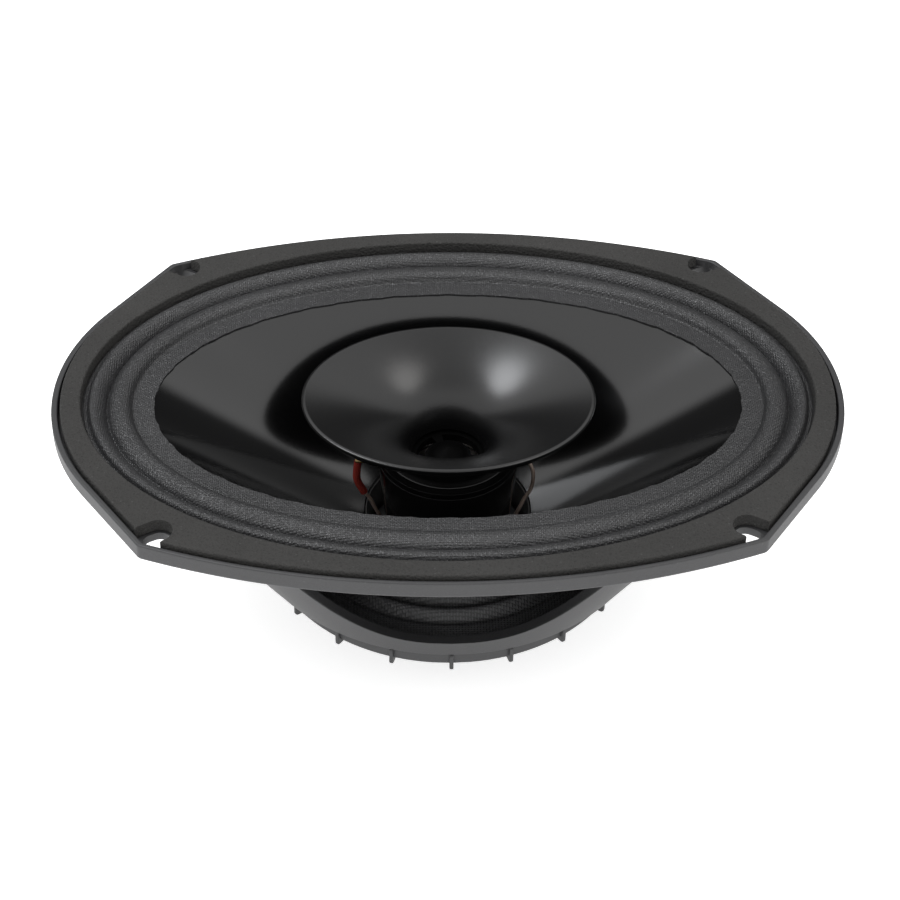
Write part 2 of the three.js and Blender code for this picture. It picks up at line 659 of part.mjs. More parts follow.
function wiringParts() {
  piece("treble_tag_positive", block([-28.4, -1.8, -26.4], [-21.9, 1.8, -25.8]), look.brass);
  piece("treble_tag_negative", block([21.9, -1.8, -27], [25.2, 1.8, -26.4]), look.brass);

  const sleeve = [[-27.5, 0, -26.8], [-28, 0, -31], [-27.9, 0, -35], [-25.9, 0, -39.8]];
  piece("treble_sleeve_positive", wire(sleeve, 1.2, 8), look.redSleeve);
  const positive = [
    [-25.4, 0, -40.4], [-23.9, 0, -43], [-22.6, 0, -46.4], [-20.6, 0, -50.8], [-18.2, 0, -54.3],
    [-13.6, 0, -56.2], [-12.5, 0, -58.6], [-12.5, 0, -63.4], [-10.6, 1.4, -68.6], [-6.6, 3.4, -73],
    [-5, 7, -76.6], [-3, 15, -77.4], [-1.8, 26, -77.4], [-1.8, 32, -77.4], [-2.4, 36.6, -75],
    [-6, 38.4, -69], [-12.6, 41, -66], [-15.6, 45.4, -65.4], [-14.6, 49.2, -65.4], [-11.6, 50, -65.4],
  ];
  piece("treble_lead_positive", wire(positive, 0.6, 38), look.tinned);
  const negative = [
    [24.6, 0, -27.4], [26.3, 0, -32.5], [25.9, 0, -38.6], [23.9, 0, -43], [22.6, 0, -46.6],
    [20.6, 0, -51.2], [17.8, 0, -54.6], [13.6, 0, -56.2], [12.5, 0, -58.6], [12.5, 0, -63.4],
    [10.6, 1.4, -68.6], [6.6, 3.4, -73], [5, 7, -76.6], [3, 15, -77.4], [1.8, 26, -77.4],
    [1.8, 32, -77.4], [2.4, 36.6, -75], [5.6, 38.6, -70], [15.5, 44, -66.5], [18.5, 53, -64],
    [18.5, 60.5, -61.5], [14, 65.4, -58], [2, 66.2, -53], [-4, 65.6, -49.6], [-8, 63.9, -47.3],
  ];
  piece("treble_lead_negative", wire(negative, 0.6, 50), look.tinned);

  const cased = turned([
    [0, -capacitor.halfLength], [capacitor.radius, -capacitor.halfLength],
    [capacitor.radius, capacitor.halfLength], [0, capacitor.halfLength],
  ], 16).rotateY(Math.PI / 2);
  piece("crossover_capacitor", cased.translate(0, capacitor.y, capacitor.z), look.capacitorSleeve);
  const feed = [
    [11.4, 50, -65.4], [13.4, 50.6, -65.2], [14.6, 56, -63], [12.4, 63.6, -58.6], [9.6, 65.2, -53],
    [8, 63.9, -47.3],
  ];
  piece("capacitor_lead", wire(feed, 0.5, 14), look.tinned);

  piece("capacitor_clip", clipGeometry(), look.blackSleeve);

  for (const [name, side] of [["positive", 1], ["negative", -1]]) {
    const x = board.rivetX * side;
    const route = [
      [x, 58.7, -43.6], [x, 55, -43.9], [x * 0.95, 49, -44.2], [x * 0.9, 43, -41.6],
      [x * 0.85, 39.2, -36.8], [x * 0.85, 37.8, -33.2],
    ];
    piece(`tinsel_lead_${name}`, wire(route, 0.7, 12), look.tinned);
  }
}

paperParts();
motorParts();
trebleParts();
terminalParts();
wiringParts();

const assembly = new THREE.Group();
assembly.add(speaker);
export default assembly;
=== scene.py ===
"""Looks of an oval coaxial car speaker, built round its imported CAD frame."""

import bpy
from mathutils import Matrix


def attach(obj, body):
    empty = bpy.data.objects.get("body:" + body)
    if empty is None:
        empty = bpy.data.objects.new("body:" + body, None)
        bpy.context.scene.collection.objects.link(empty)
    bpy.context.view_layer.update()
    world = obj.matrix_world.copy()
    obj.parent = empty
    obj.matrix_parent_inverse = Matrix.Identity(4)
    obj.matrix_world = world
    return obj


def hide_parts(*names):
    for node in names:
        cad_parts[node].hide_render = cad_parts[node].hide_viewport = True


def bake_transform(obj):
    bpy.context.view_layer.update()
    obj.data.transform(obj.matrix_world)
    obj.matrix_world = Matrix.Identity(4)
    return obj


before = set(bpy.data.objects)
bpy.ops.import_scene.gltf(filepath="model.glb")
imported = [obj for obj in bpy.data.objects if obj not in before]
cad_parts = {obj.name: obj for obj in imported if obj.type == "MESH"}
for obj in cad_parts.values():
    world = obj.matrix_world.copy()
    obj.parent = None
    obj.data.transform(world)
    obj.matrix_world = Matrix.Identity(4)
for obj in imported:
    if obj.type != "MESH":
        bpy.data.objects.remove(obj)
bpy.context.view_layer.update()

import logging
import math
from dataclasses import dataclass
from enum import Enum

import bmesh
import bpy
import numpy as np
from mathutils import Matrix, Vector

LOG = logging.getLogger("speaker")
Array = np.ndarray
Corner = tuple[float, float, float]
MM = 0.001
WELD = 0.002  # mm within which points are one
LIP_HEIGHT = 80.0  # mm from the rear face, at Z = 0, up to the flange's front edge

# Sizes below are millimetres, with heights from the flange's front edge; build() turns them into metres
# in the row frame.


# ------------------------------------------------------------------ surfaces


@dataclass
class Shell:
    """A closed surface: its points, its quads, and the pattern coordinates of each quad's corners."""

    points: Array
    quads: Array
    uvs: Array

    def outward(self) -> "Shell":
        """Turn the quads over if they enclose a negative volume.

        Returns:
            The shell itself, facing out.
        """
        a, b, c, d = (self.points[self.quads[:, k]] for k in range(4))
        doubled = np.einsum("ij,ij->i", a, np.cross(b, c)) + np.einsum("ij,ij->i", a, np.cross(c, d))
        if doubled.sum() < 0:
            self.quads = self.quads[:, ::-1]
            self.uvs = self.uvs[:, ::-1]
        return self

    def moved(self, matrix: Matrix) -> "Shell":
        """Copy the shell through a matrix.

        Args:
            matrix: A 4 by 4 placement.

        Returns:
            The placed copy, facing out.
        """
        m = np.array(matrix)
        points = self.points @ m[:3, :3].T + m[:3, 3]
        return Shell(points, self.quads.copy(), self.uvs.copy()).outward()


def grid_shell(
    grid: Array, wrap_rows: bool, wrap_cols: bool, spans: tuple[float, float] = (1.0, 1.0)
) -> Shell:
    """Join a grid of points into quads.

    Args:
        grid: Points in rows and columns, shaped (rows, columns, 3).
        wrap_rows: Whether the last row meets the first.
        wrap_cols: Whether the last column meets the first.
        spans: Pattern lengths along the rows and along the columns.

    Returns:
        The surface, facing out.
    """
    rows, cols = grid.shape[:2]
    row_count = rows if wrap_rows else rows - 1
    col_count = cols if wrap_cols else cols - 1
    r, c = np.meshgrid(np.arange(row_count), np.arange(col_count), indexing="ij")
    r, c = r.ravel(), c.ravel()
    steps = ((0, 0), (1, 0), (1, 1), (0, 1))
    quads = np.stack([((r + dr) % rows) * cols + (c + dc) % cols for dr, dc in steps], axis=1)
    corners = [((r + dr) / row_count * spans[0], (c + dc) / col_count * spans[1]) for dr, dc in steps]
    uvs = np.stack([np.stack(pair, axis=1) for pair in corners], axis=1)
    return Shell(grid.reshape(-1, 3), quads, uvs).outward()


def joined(shells: list[Shell]) -> Shell:
    """Put several shells in one.

    Args:
        shells: The shells, in order.

    Returns:
        One shell with all their points and quads.
    """
    starts = np.cumsum([0] + [len(s.points) for s in shells[:-1]])
    return Shell(
        np.concatenate([s.points for s in shells]),
        np.concatenate([s.quads + start for s, start in zip(shells, starts)]),
        np.concatenate([s.uvs for s in shells]),
    )


def build(name: str, shell: Shell, finish: str, sharp: float = 35.0, weld: bool = True) -> bpy.types.Object:
    """Make a Blender object of a shell, smooth except where its faces meet sharply.

    Args:
        name: The piece's name.
        shell: Its surface, in millimetres from the flange's front edge.
        finish: The name of its finish.
        sharp: The angle in degrees past which an edge stays sharp.
        weld: Whether points in the same place are joined, which closes poles.

    Returns:
        The new object, linked and at the origin.
    """
    mesh = bpy.data.meshes.new(name)
    points = (shell.points + np.array([0.0, 0.0, LIP_HEIGHT])) * MM
    mesh.from_pydata(points.tolist(), [], shell.quads.tolist())
    layer = mesh.uv_layers.new(name="Pattern")
    layer.data.foreach_set("uv", (shell.uvs * MM).reshape(-1).astype(np.float32))
    if weld:
        work = bmesh.new()
        work.from_mesh(mesh)
        bmesh.ops.remove_doubles(work, verts=work.verts, dist=WELD * MM)
        work.to_mesh(mesh)
        work.free()
    smooth(mesh, sharp)
    mesh.materials.append(FINISHES[finish])
    obj = bpy.data.objects.new(name, mesh)
    bpy.context.scene.collection.objects.link(obj)
    return obj


def smooth(mesh: bpy.types.Mesh, sharp: float) -> None:
    """Shade a mesh smoothly, keeping edges past an angle in degrees sharp."""
    mesh.polygons.foreach_set("use_smooth", [True] * len(mesh.polygons))
    mesh.set_sharp_from_angle(angle=math.radians(sharp))


class Join(Enum):
    """How a tool solid changes a piece."""

    ADD = "UNION"
    CUT = "DIFFERENCE"


def carve(target: bpy.types.Object, tools: list[tuple[Join, Shell]], sharp: float = 30.0) -> None:
    """Join solids to an object or take them out of it, for good.

    Args:
        target: The object that is changed.
        tools: The closed solids, in order, and what each does.
        sharp: The angle in degrees past which an edge stays sharp.
    """
    made = []
    for number, (join, shell) in enumerate(tools):
        tool = build(f"{target.name}_tool_{number}", shell, "moulded_basket")
        tool.data.materials.clear()
        modifier = target.modifiers.new("tool", "BOOLEAN")
        modifier.operation = join.value
        modifier.solver = "MANIFOLD"
        modifier.object = tool
        made.append(tool)
    bpy.context.view_layer.update()
    graph = bpy.context.evaluated_depsgraph_get()
    mesh = bpy.data.meshes.new_from_object(target.evaluated_get(graph))
    target.modifiers.clear()
    spent = target.data
    target.data = mesh
    bpy.data.meshes.remove(spent)
    mesh.name = target.name
    for tool in made:
        bpy.data.objects.remove(tool)
    smooth(mesh, sharp)


def eased(corners: list[tuple[float, float, float]], closed: bool, steps: int = 4) -> Array:
    """Round the corners of a flat outline and keep its straight runs flat.

    Each corner becomes an arc tangent to its two sides, found on the sides' bisector, and a guard point
    stands just outside each end of the arc.

    Args:
        corners: Each corner as (across, up, radius).
        closed: Whether the outline meets itself.
        steps: Segments in each arc.

    Returns:
        The outline's points, shaped (n, 2).
    """
    count = len(corners)
    out: list[Array] = []
    for i, (x, y, radius) in enumerate(corners):
        here = np.array([x, y])
        if radius <= 0 or (not closed and i in (0, count - 1)):
            out.append(here[None])
            continue
        before = np.array(corners[i - 1][:2]) - here
        after = np.array(corners[(i + 1) % count][:2]) - here
        long_in, long_out = np.linalg.norm(before), np.linalg.norm(after)
        before, after = before / long_in, after / long_out
        half = math.acos(float(np.clip(before @ after, -0.9999, 0.9999))) / 2
        reach = min(radius / math.tan(half), 0.48 * long_in, 0.48 * long_out)
        true = reach * math.tan(half)
        centre = here + (before + after) / np.linalg.norm(before + after) * true / math.sin(half)
        start, end = here + before * reach - centre, here + after * reach - centre
        sweep = math.pi - 2 * half
        turn = math.copysign(1.0, start[0] * end[1] - start[1] * end[0])
        angles = np.linspace(0, sweep, steps + 1) * turn
        c, s = np.cos(angles), np.sin(angles)
        arc = centre + np.stack([start[0] * c - start[1] * s, start[0] * s + start[1] * c], axis=1)
        lead = min(0.15, 0.015 * long_in, 0.015 * long_out)
        out.append(np.concatenate([(arc[0] + before * lead)[None], arc, (arc[-1] + after * lead)[None]]))
    return np.concatenate(out)


def rounded(corners: list[tuple[Array, float]], closed: bool, steps: int = 4) -> Array:
    """Round the corners of many sections at once.

    At each corner the section leaves its side at the ease's distance, follows the parabola whose control
    point is the corner, and joins the next side at the same distance; a guard row stands outside each end.

    Args:
        corners: For each corner its points, one for each section, shaped (n, 3), and its ease.
        closed: Whether the sections close on themselves.
        steps: Segments in each bend.

    Returns:
        The rows of points, shaped (rows, n, 3).
    """
    count = len(corners)
    rows: list[Array] = []
    for i, (here, ease) in enumerate(corners):
        if ease <= 0 or (not closed and i in (0, count - 1)):
            rows.append(here)
            continue
        before = corners[i - 1][0] - here
        after = corners[(i + 1) % count][0] - here
        long_in = np.maximum(np.linalg.norm(before, axis=1, keepdims=True), 1e-9)
        long_out = np.maximum(np.linalg.norm(after, axis=1, keepdims=True), 1e-9)
        before, after = before / long_in, after / long_out
        shorter = np.minimum(long_in, long_out)
        reach = np.minimum(ease, 0.45 * shorter)
        lead = np.minimum(0.25, 0.03 * shorter)
        start, end = here + before * reach, here + after * reach
        rows.append(start + before * lead)
        for s in np.linspace(0, 1, steps + 1):
            rows.append((1 - s) ** 2 * start + 2 * s * (1 - s) * here + s**2 * end)
        rows.append(end + after * lead)
    return np.stack(rows)


def ring_angles(segments: int) -> Array:
    """Give even angles round a ring."""
    return np.linspace(0, 2 * math.pi, segments, endpoint=False)


def oval(angle: Array, rx: Array | float, ry: Array | float, z: Array | float, offset: float = 0.0) -> Array:
    """Points on an oval, pushed out along its normal.

    The point at angle a is (rx cos a, ry sin a) plus the offset along (cos a / rx, sin a / ry) made one long.

    Args:
        angle: The angles.
        rx: Half-axis along X, or one for each angle.
        ry: Half-axis along Y, or one for each angle.
        z: The height, or one for each angle.
        offset: The push outwards.

    Returns:
        The points, shaped (n, 3).
    """
    c, s = np.cos(angle), np.sin(angle)
    if offset:
        length = np.hypot(c / rx, s / ry)
        x = rx * c + offset * c / rx / length
        y = ry * s + offset * s / ry / length
        return np.stack([x, y, z + 0 * c], axis=1)
    return np.stack([rx * c, ry * s, z + 0 * c], axis=1)


def turned(section: tuple[Corner, ...], segments: int = 96, steps: int = 4) -> Shell:
    """Turn a half section about the Z axis.

    Args:
        section: Its corners as (radius, height, ease). It starts and ends on the axis, or closes on itself.
        segments: Steps round the axis.
        steps: Segments in each eased corner.

    Returns:
        The turned surface.
    """
    angle = ring_angles(segments)
    closed = section[0][0] > 0
    rows = rounded([(oval(angle, r, r, z), ease) for r, z, ease in section], closed, steps)
    return grid_shell(rows, closed, True)


def drill(radius: float, low: float, high: float, segments: int = 24) -> Shell:
    """A round cutter along the Z axis, between two heights."""
    return turned(((0, low, 0), (radius, low, 0), (radius, high, 0), (0, high, 0)), segments)


def slab(outline: Array, low: float, high: float, bevel: float) -> Shell:
    """Thicken a flat outline with eased edges.

    The rows run from the lower face's middle out to its edge, up the side and in to the upper face's
    middle; each row is the outline drawn in towards its centre.

    Args:
        outline: The outline's points in order, shaped (n, 2), star-shaped about its centre.
        low: The lower face's height.
        high: The upper face's height.
        bevel: The edge's easing.

    Returns:
        The slab's surface.
    """
    centre = (outline.min(axis=0) + outline.max(axis=0)) / 2
    reach = np.linalg.norm(outline - centre, axis=1, keepdims=True)
    unit = (outline - centre) / reach
    arc = np.linspace(0, math.pi / 2, 4)
    insets = np.concatenate([bevel * (1 - np.sin(arc)), bevel * (1 - np.cos(arc))])
    heights = np.concatenate([low + bevel * (1 - np.cos(arc)), high - bevel * (1 - np.sin(arc))])
    rings = [centre + unit * np.maximum(reach - inset, 0) for inset in insets]
    rows = [centre + 0 * outline, centre + unit * (reach - 2 * bevel), *rings]
    rows += [centre + unit * (reach - 2 * bevel), centre + 0 * outline]
    levels = [low, low, *heights, high, high]
    grid = np.stack([np.column_stack([row, np.full(len(row), level)]) for row, level in zip(rows, levels)])
    return grid_shell(grid, False, True)


def smooth_path(points: list[tuple[float, float, float]], count: int) -> Array:
    """Carry a smooth curve through given points.

    Between two points the curve is the Catmull-Rom cubic of them and their neighbours.

    Args:
        points: The points.
        count: Points on the finished curve.

    Returns:
        The curve's points, shaped (count, 3).
    """
    p = np.array(points, float)
    p = np.concatenate([[2 * p[0] - p[1]], p, [2 * p[-1] - p[-2]]])
    t = np.linspace(0, len(points) - 1 - 1e-9, count)
    i = np.floor(t).astype(int)
    u = (t - i)[:, None]
    a, b, c, d = p[i], p[i + 1], p[i + 2], p[i + 3]
    return 0.5 * (2 * b + (c - a) * u + (2 * a - 5 * b + 4 * c - d) * u**2 + (3 * b - a - 3 * c + d) * u**3)


def wire(path: Array, radius: float, sides: int = 12, reference: Corner = (0.5, 0.5, 0.7)) -> Shell:
    """Sweep a round section along a path, closed by rounded ends.

    Args:
        path: The centre line's points.
        radius: The wire's radius.
        sides: Sides of the section.
        reference: A direction that the path never follows, which steadies the section's turn.

    Returns:
        The wire's surface, with pattern coordinates along and round it.
    """
    tangent = np.gradient(path, axis=0)
    tangent /= np.linalg.norm(tangent, axis=1, keepdims=True)
    side = np.cross(tangent, np.array(reference))
    side /= np.linalg.norm(side, axis=1, keepdims=True)
    up = np.cross(side, tangent)
    ends = np.array([0.0, 0.6, 0.9, 1.0])
    profile = np.concatenate([ends, np.ones(len(path) - 2), ends[::-1]]) * radius
    index = np.concatenate([[0] * 3, np.arange(len(path)), [len(path) - 1] * 3])
    push = np.concatenate([[0.0, 0.05, 0.18], np.zeros(len(path)), [-0.18, -0.05, 0.0]]) * radius
    angle = np.linspace(0, 2 * math.pi, sides, endpoint=False)
    cosine, sine = np.cos(angle)[None, :, None], np.sin(angle)[None, :, None]
    across = side[index][:, None] * cosine + up[index][:, None] * sine
    grid = (path[index] + tangent[index] * push[:, None])[:, None] + across * profile[:, None, None]
    length = float(np.linalg.norm(np.diff(path, axis=0), axis=1).sum())
    return grid_shell(grid, False, True, (length, 2 * math.pi * radius))


def strap(path: Array, width: float, thickness: float, broad: Corner, ease: float) -> Shell:
    """Sweep a flat rectangular section with eased corners along a path.

    Args:
        path: The centre line's points.
        width: The section's size along the broad direction.
        thickness: The section's other size.
        broad: The direction of the width, square to the path.
        ease: The corners' easing.

    Returns:
        The strap's surface, closed by flat ends.
    """
    tangent = np.gradient(path, axis=0)
    tangent /= np.linalg.norm(tangent, axis=1, keepdims=True)
    wide = np.array(broad, float)
    thin = np.cross(tangent, wide)
    w, t = width / 2, thickness / 2
    section = eased([(-w, -t, ease), (w, -t, ease), (w, t, ease), (-w, t, ease)], True, 3)
    index = np.concatenate([[0], np.arange(len(path)), [len(path) - 1]])
    scale = np.concatenate([[0.0], np.ones(len(path)), [0.0]])
    offsets = section[None, :, :1] * wide + section[None, :, 1:] * thin[index][:, None]
    grid = path[index][:, None] + offsets * scale[:, None, None]
    return grid_shell(grid, False, True, (1.0, 1.0))


# ------------------------------------------------------------------ shared shader effects


class Effect(Enum):
    """The surface effects that several finishes share."""

    GRAIN = "fine_grain"
    DRIFT = "tone_drift"
    SPECKS = "dust_specks"
    WEAVE = "plain_weave"
    BRAID = "wire_braid"


@dataclass
class Tree:
    """A node tree with short calls for the nodes that the effects and finishes need."""

    tree: bpy.types.NodeTree

    def node(self, kind: str, **inputs: object) -> bpy.types.Node:
        """Add a node and set or link its inputs.

        Args:
            kind: Blender's node type.
            inputs: Values or sockets by input name, with _ for a space.

        Returns:
            The new node.
        """
        made = self.tree.nodes.new(kind)
        for name, value in inputs.items():
            self.feed(made.inputs[name.replace("_", " ")], value)
        return made

    def feed(self, socket: bpy.types.NodeSocket, value: object) -> None:
        """Link a socket, or set it to a plain value."""
        if isinstance(value, bpy.types.NodeSocket):
            self.tree.links.new(value, socket)
        else:
            socket.default_value = value

    def sum(self, operation: str, *values: object) -> bpy.types.NodeSocket:
        """Add a Math node and give back its value."""
        made = self.tree.nodes.new("ShaderNodeMath")
        made.operation = operation
        for socket, value in zip(made.inputs, values):
            self.feed(socket, value)
        return made.outputs[0]

    def ramp(self, value: bpy.types.NodeSocket, low: float, high: float) -> bpy.types.NodeSocket:
        """Map a value smoothly from low..high to 0..1 and give back the result."""
        made = self.tree.nodes.new("ShaderNodeMapRange")
        made.interpolation_type = "SMOOTHSTEP"
        self.feed(made.inputs["Value"], value)
        self.feed(made.inputs["From Min"], low)
        self.feed(made.inputs["From Max"], high)
        return made.outputs["Result"]

    def mix(self, factor: object, a: object, b: object) -> bpy.types.NodeSocket:
        """Mix two colours and give back the result."""
        made = self.tree.nodes.new("ShaderNodeMix")
        made.data_type = "RGBA"
        self.feed(made.inputs["Factor"], factor)
        self.feed(made.inputs["A"], a)
        self.feed(made.inputs["B"], b)
        return made.outputs["Result"]


class EffectLibrary:
    """Builds each shared effect once, as a shader node group with named inputs and outputs."""

    def __init__(self) -> None:
        """Start with no group built."""
        self.built: dict[Effect, bpy.types.NodeTree] = {}

    def group(self, effect: Effect) -> bpy.types.NodeTree:
        """Give the group of an effect, building it the first time."""
        if effect not in self.built:
            makers = {
                Effect.GRAIN: self._grain,
                Effect.DRIFT: self._drift,
                Effect.SPECKS: self._specks,
                Effect.WEAVE: self._weave,
                Effect.BRAID: self._braid,
            }
            self.built[effect] = makers[effect]()
        return self.built[effect]

    @staticmethod
    def _open(effect: Effect, inputs: dict[str, float], outputs: tuple[str, ...]) -> tuple:
        """Start a group with float inputs and outputs.

        Args:
            effect: The effect, whose value names the group.
            inputs: Input names and their first values.
            outputs: Output names.

        Returns:
            The tree helper, the group's input node and its output node.
        """
        tree = bpy.data.node_groups.new(effect.value, "ShaderNodeTree")
        for name, value in inputs.items():
            socket = tree.interface.new_socket(name=name, in_out="INPUT", socket_type="NodeSocketFloat")
            socket.default_value = value
        for name in outputs:
            tree.interface.new_socket(name=name, in_out="OUTPUT", socket_type="NodeSocketFloat")
        return Tree(tree), tree.nodes.new("NodeGroupInput"), tree.nodes.new("NodeGroupOutput")

    @staticmethod
    def _place(tree: Tree) -> bpy.types.NodeSocket:
        """Give the object coordinates inside a group."""
        return tree.node("ShaderNodeTexCoord").outputs["Object"]

    def _grain(self) -> bpy.types.NodeTree:
        """Fine moulded or sprayed grain: noise over cells, as a height and a soft mask."""
        tree, given, out = self._open(Effect.GRAIN, {"Scale": 2500.0, "Cells": 0.5}, ("Height", "Mask"))
        place = self._place(tree)
        noise = tree.node("ShaderNodeTexNoise", Vector=place, Scale=given.outputs["Scale"], Detail=3.0)
        cells = tree.node("ShaderNodeTexVoronoi", Vector=place, Scale=given.outputs["Scale"])
        share = tree.sum("MULTIPLY", cells.outputs["Distance"], given.outputs["Cells"])
        height = tree.sum("ADD", noise.outputs["Fac"], share)
        tree.feed(out.inputs["Height"], height)
        tree.feed(out.inputs["Mask"], tree.ramp(height, 0.35, 0.95))
        return tree.tree

    def _drift(self) -> bpy.types.NodeTree:
        """Slow drift of tone over a surface, as a factor round one half."""
        tree, given, out = self._open(Effect.DRIFT, {"Scale": 18.0, "Spread": 0.3}, ("Factor",))
        place, scale = self._place(tree), given.outputs["Scale"]
        noise = tree.node("ShaderNodeTexNoise", Vector=place, Scale=scale, Detail=4.0, Roughness=0.6)
        centred = tree.sum("SUBTRACT", noise.outputs["Fac"], 0.5)
        wide = tree.sum("MULTIPLY", centred, given.outputs["Spread"])
        tree.feed(out.inputs["Factor"], tree.sum("ADD", wide, 0.5))
        return tree.tree

    def _specks(self) -> bpy.types.NodeTree:
        """Sparse specks, dust on most finishes and painted glints on the surround's cloth: the cores of a few
        random cells, as a mask.
        """
        tree, given, out = self._open(Effect.SPECKS, {"Scale": 900.0, "Share": 0.12, "Size": 0.25}, ("Mask",))
        cells = tree.node("ShaderNodeTexVoronoi", Vector=self._place(tree), Scale=given.outputs["Scale"])
        parts = tree.node("ShaderNodeSeparateColor", Color=cells.outputs["Color"])
        chosen = tree.sum("LESS_THAN", parts.outputs["Red"], given.outputs["Share"])
        core = tree.sum("LESS_THAN", cells.outputs["Distance"], given.outputs["Size"])
        tree.feed(out.inputs["Mask"], tree.sum("MULTIPLY", chosen, core))
        return tree.tree

    def _threads(self, tree: Tree, u: object, v: object) -> tuple:
        """Plain weave of two thread coordinates.

        Each thread is half a sine wave across; the sign of the product of both sines says which thread
        lies on top, and its crown dips towards the crossings.

        Args:
            tree: The tree to build in.
            u: The first coordinate, pi for each thread.
            v: The second coordinate.

        Returns:
            The height and the mask of the threads that run one way.
        """
        sine_u, sine_v = tree.sum("SINE", u), tree.sum("SINE", v)
        over = tree.sum("GREATER_THAN", tree.sum("MULTIPLY", sine_u, sine_v), 0.0)
        across_u, across_v = tree.sum("ABSOLUTE", sine_u), tree.sum("ABSOLUTE", sine_v)
        first = tree.sum("MULTIPLY", across_u, tree.sum("MULTIPLY_ADD", across_v, 0.45, 0.55))
        second = tree.sum("MULTIPLY", across_v, tree.sum("MULTIPLY_ADD", across_u, 0.45, 0.55))
        gap = tree.sum("SUBTRACT", first, second)
        return tree.sum("MULTIPLY_ADD", gap, over, second), over

    def _weave(self) -> bpy.types.NodeTree:
        """Plain weave laid flat over X and Y, with a little wander of the threads."""
        tree, given, out = self._open(Effect.WEAVE, {"Pitch": 0.0007, "Wander": 0.5}, ("Height", "Over"))
        place = self._place(tree)
        wander = tree.node("ShaderNodeTexNoise", Vector=place, Scale=120.0, Detail=2.0)
        shift = tree.sum("MULTIPLY", wander.outputs["Fac"], given.outputs["Wander"])
        axes = tree.node("ShaderNodeSeparateXYZ", Vector=place)
        per_metre = tree.sum("DIVIDE", math.pi, given.outputs["Pitch"])
        u = tree.sum("MULTIPLY_ADD", axes.outputs["X"], per_metre, shift)
        v = tree.sum("MULTIPLY_ADD", axes.outputs["Y"], per_metre, shift)
        height, over = self._threads(tree, u, v)
        tree.feed(out.inputs["Height"], height)
        tree.feed(out.inputs["Over"], over)
        return tree.tree

    def _braid(self) -> bpy.types.NodeTree:
        """Braid of fine strands that wind both ways round a lead, on its own pattern map."""
        tree, given, out = self._open(Effect.BRAID, {"Pitch": 0.0006}, ("Height", "Over"))
        axes = tree.node("ShaderNodeSeparateXYZ", Vector=tree.node("ShaderNodeTexCoord").outputs["UV"])
        per_metre = tree.sum("DIVIDE", math.pi, given.outputs["Pitch"])
        along = tree.sum("MULTIPLY", axes.outputs["X"], per_metre)
        round_it = tree.sum("MULTIPLY", axes.outputs["Y"], per_metre)
        one_way, other_way = tree.sum("ADD", along, round_it), tree.sum("SUBTRACT", along, round_it)
        height, over = self._threads(tree, one_way, other_way)
        tree.feed(out.inputs["Height"], height)
        tree.feed(out.inputs["Over"], over)
        return tree.tree


EFFECTS = EffectLibrary()
Colour = tuple[float, float, float]


def rgba(colour: Colour) -> tuple[float, float, float, float]:
    """Give a colour with full alpha."""
    return (*colour, 1.0)


@dataclass(frozen=True)
class Finish:
    """A surface finish with grain, slow drift of tone and sparse specks over a base."""

    name: str
    base: Colour
    light: Colour
    roughness: float = 0.5
    roughness_swing: float = 0.08
    metallic: float = 0.0
    coat: float = 0.0
    coat_roughness: float = 0.05
    sheen: float = 0.0
    specular: float = 0.5
    grain_scale: float = 2500.0
    grain_cells: float = 0.5
    grain_depth: float = 0.02
    drift_scale: float = 18.0
    drift_spread: float = 0.6
    speck_scale: float = 900.0
    speck_share: float = 0.05
    speck_colour: Colour = (0.12, 0.12, 0.12)
    speck_strength: float = 0.2

    def material(self) -> bpy.types.Material:
        """Build the material.

        Returns:
            A node material with one Principled shader.
        """
        made, tree, shader = start_material(self.name)
        height, tone = self.relief(tree)
        self.dress(tree, shader, height, tone)
        return made

    def relief(self, tree: Tree) -> tuple:
        """Give the height that the bump reads and the mask that lightens the base."""
        grain = placed(tree, Effect.GRAIN, Scale=self.grain_scale, Cells=self.grain_cells)
        return grain.outputs["Height"], grain.outputs["Mask"]

    def dress(self, tree: Tree, shader: bpy.types.Node, height: object, tone: object) -> None:
        """Feed the shader from the relief, the drift and the specks.

        Args:
            tree: The material's tree.
            shader: Its Principled shader.
            height: The relief's height.
            tone: The relief's mask.
        """
        drift = placed(tree, Effect.DRIFT, Scale=self.drift_scale, Spread=self.drift_spread)
        specks = placed(tree, Effect.SPECKS, Scale=self.speck_scale, Share=self.speck_share)
        blend = tree.sum("MULTIPLY", drift.outputs["Factor"], tree.sum("MULTIPLY_ADD", tone, 0.6, 0.4))
        colour = tree.mix(blend, rgba(self.base), rgba(self.light))
        speck = tree.sum("MULTIPLY", specks.outputs["Mask"], self.speck_strength)
        colour = tree.mix(speck, colour, rgba(self.speck_colour))
        tree.feed(shader.inputs["Base Color"], colour)
        low = self.roughness - self.roughness_swing
        tree.feed(
            shader.inputs["Roughness"],
            tree.sum("MULTIPLY_ADD", drift.outputs["Factor"], 2 * self.roughness_swing, low),
        )
        bump = tree.node("ShaderNodeBump", Height=height, Strength=1.0, Distance=self.grain_depth * MM)
        tree.feed(shader.inputs["Normal"], bump.outputs["Normal"])
        plain = {
            "Metallic": self.metallic,
            "Coat Weight": self.coat,
            "Coat Roughness": self.coat_roughness,
            "Sheen Weight": self.sheen,
            "Specular IOR Level": self.specular,
        }
        for socket, value in plain.items():
            shader.inputs[socket].default_value = value


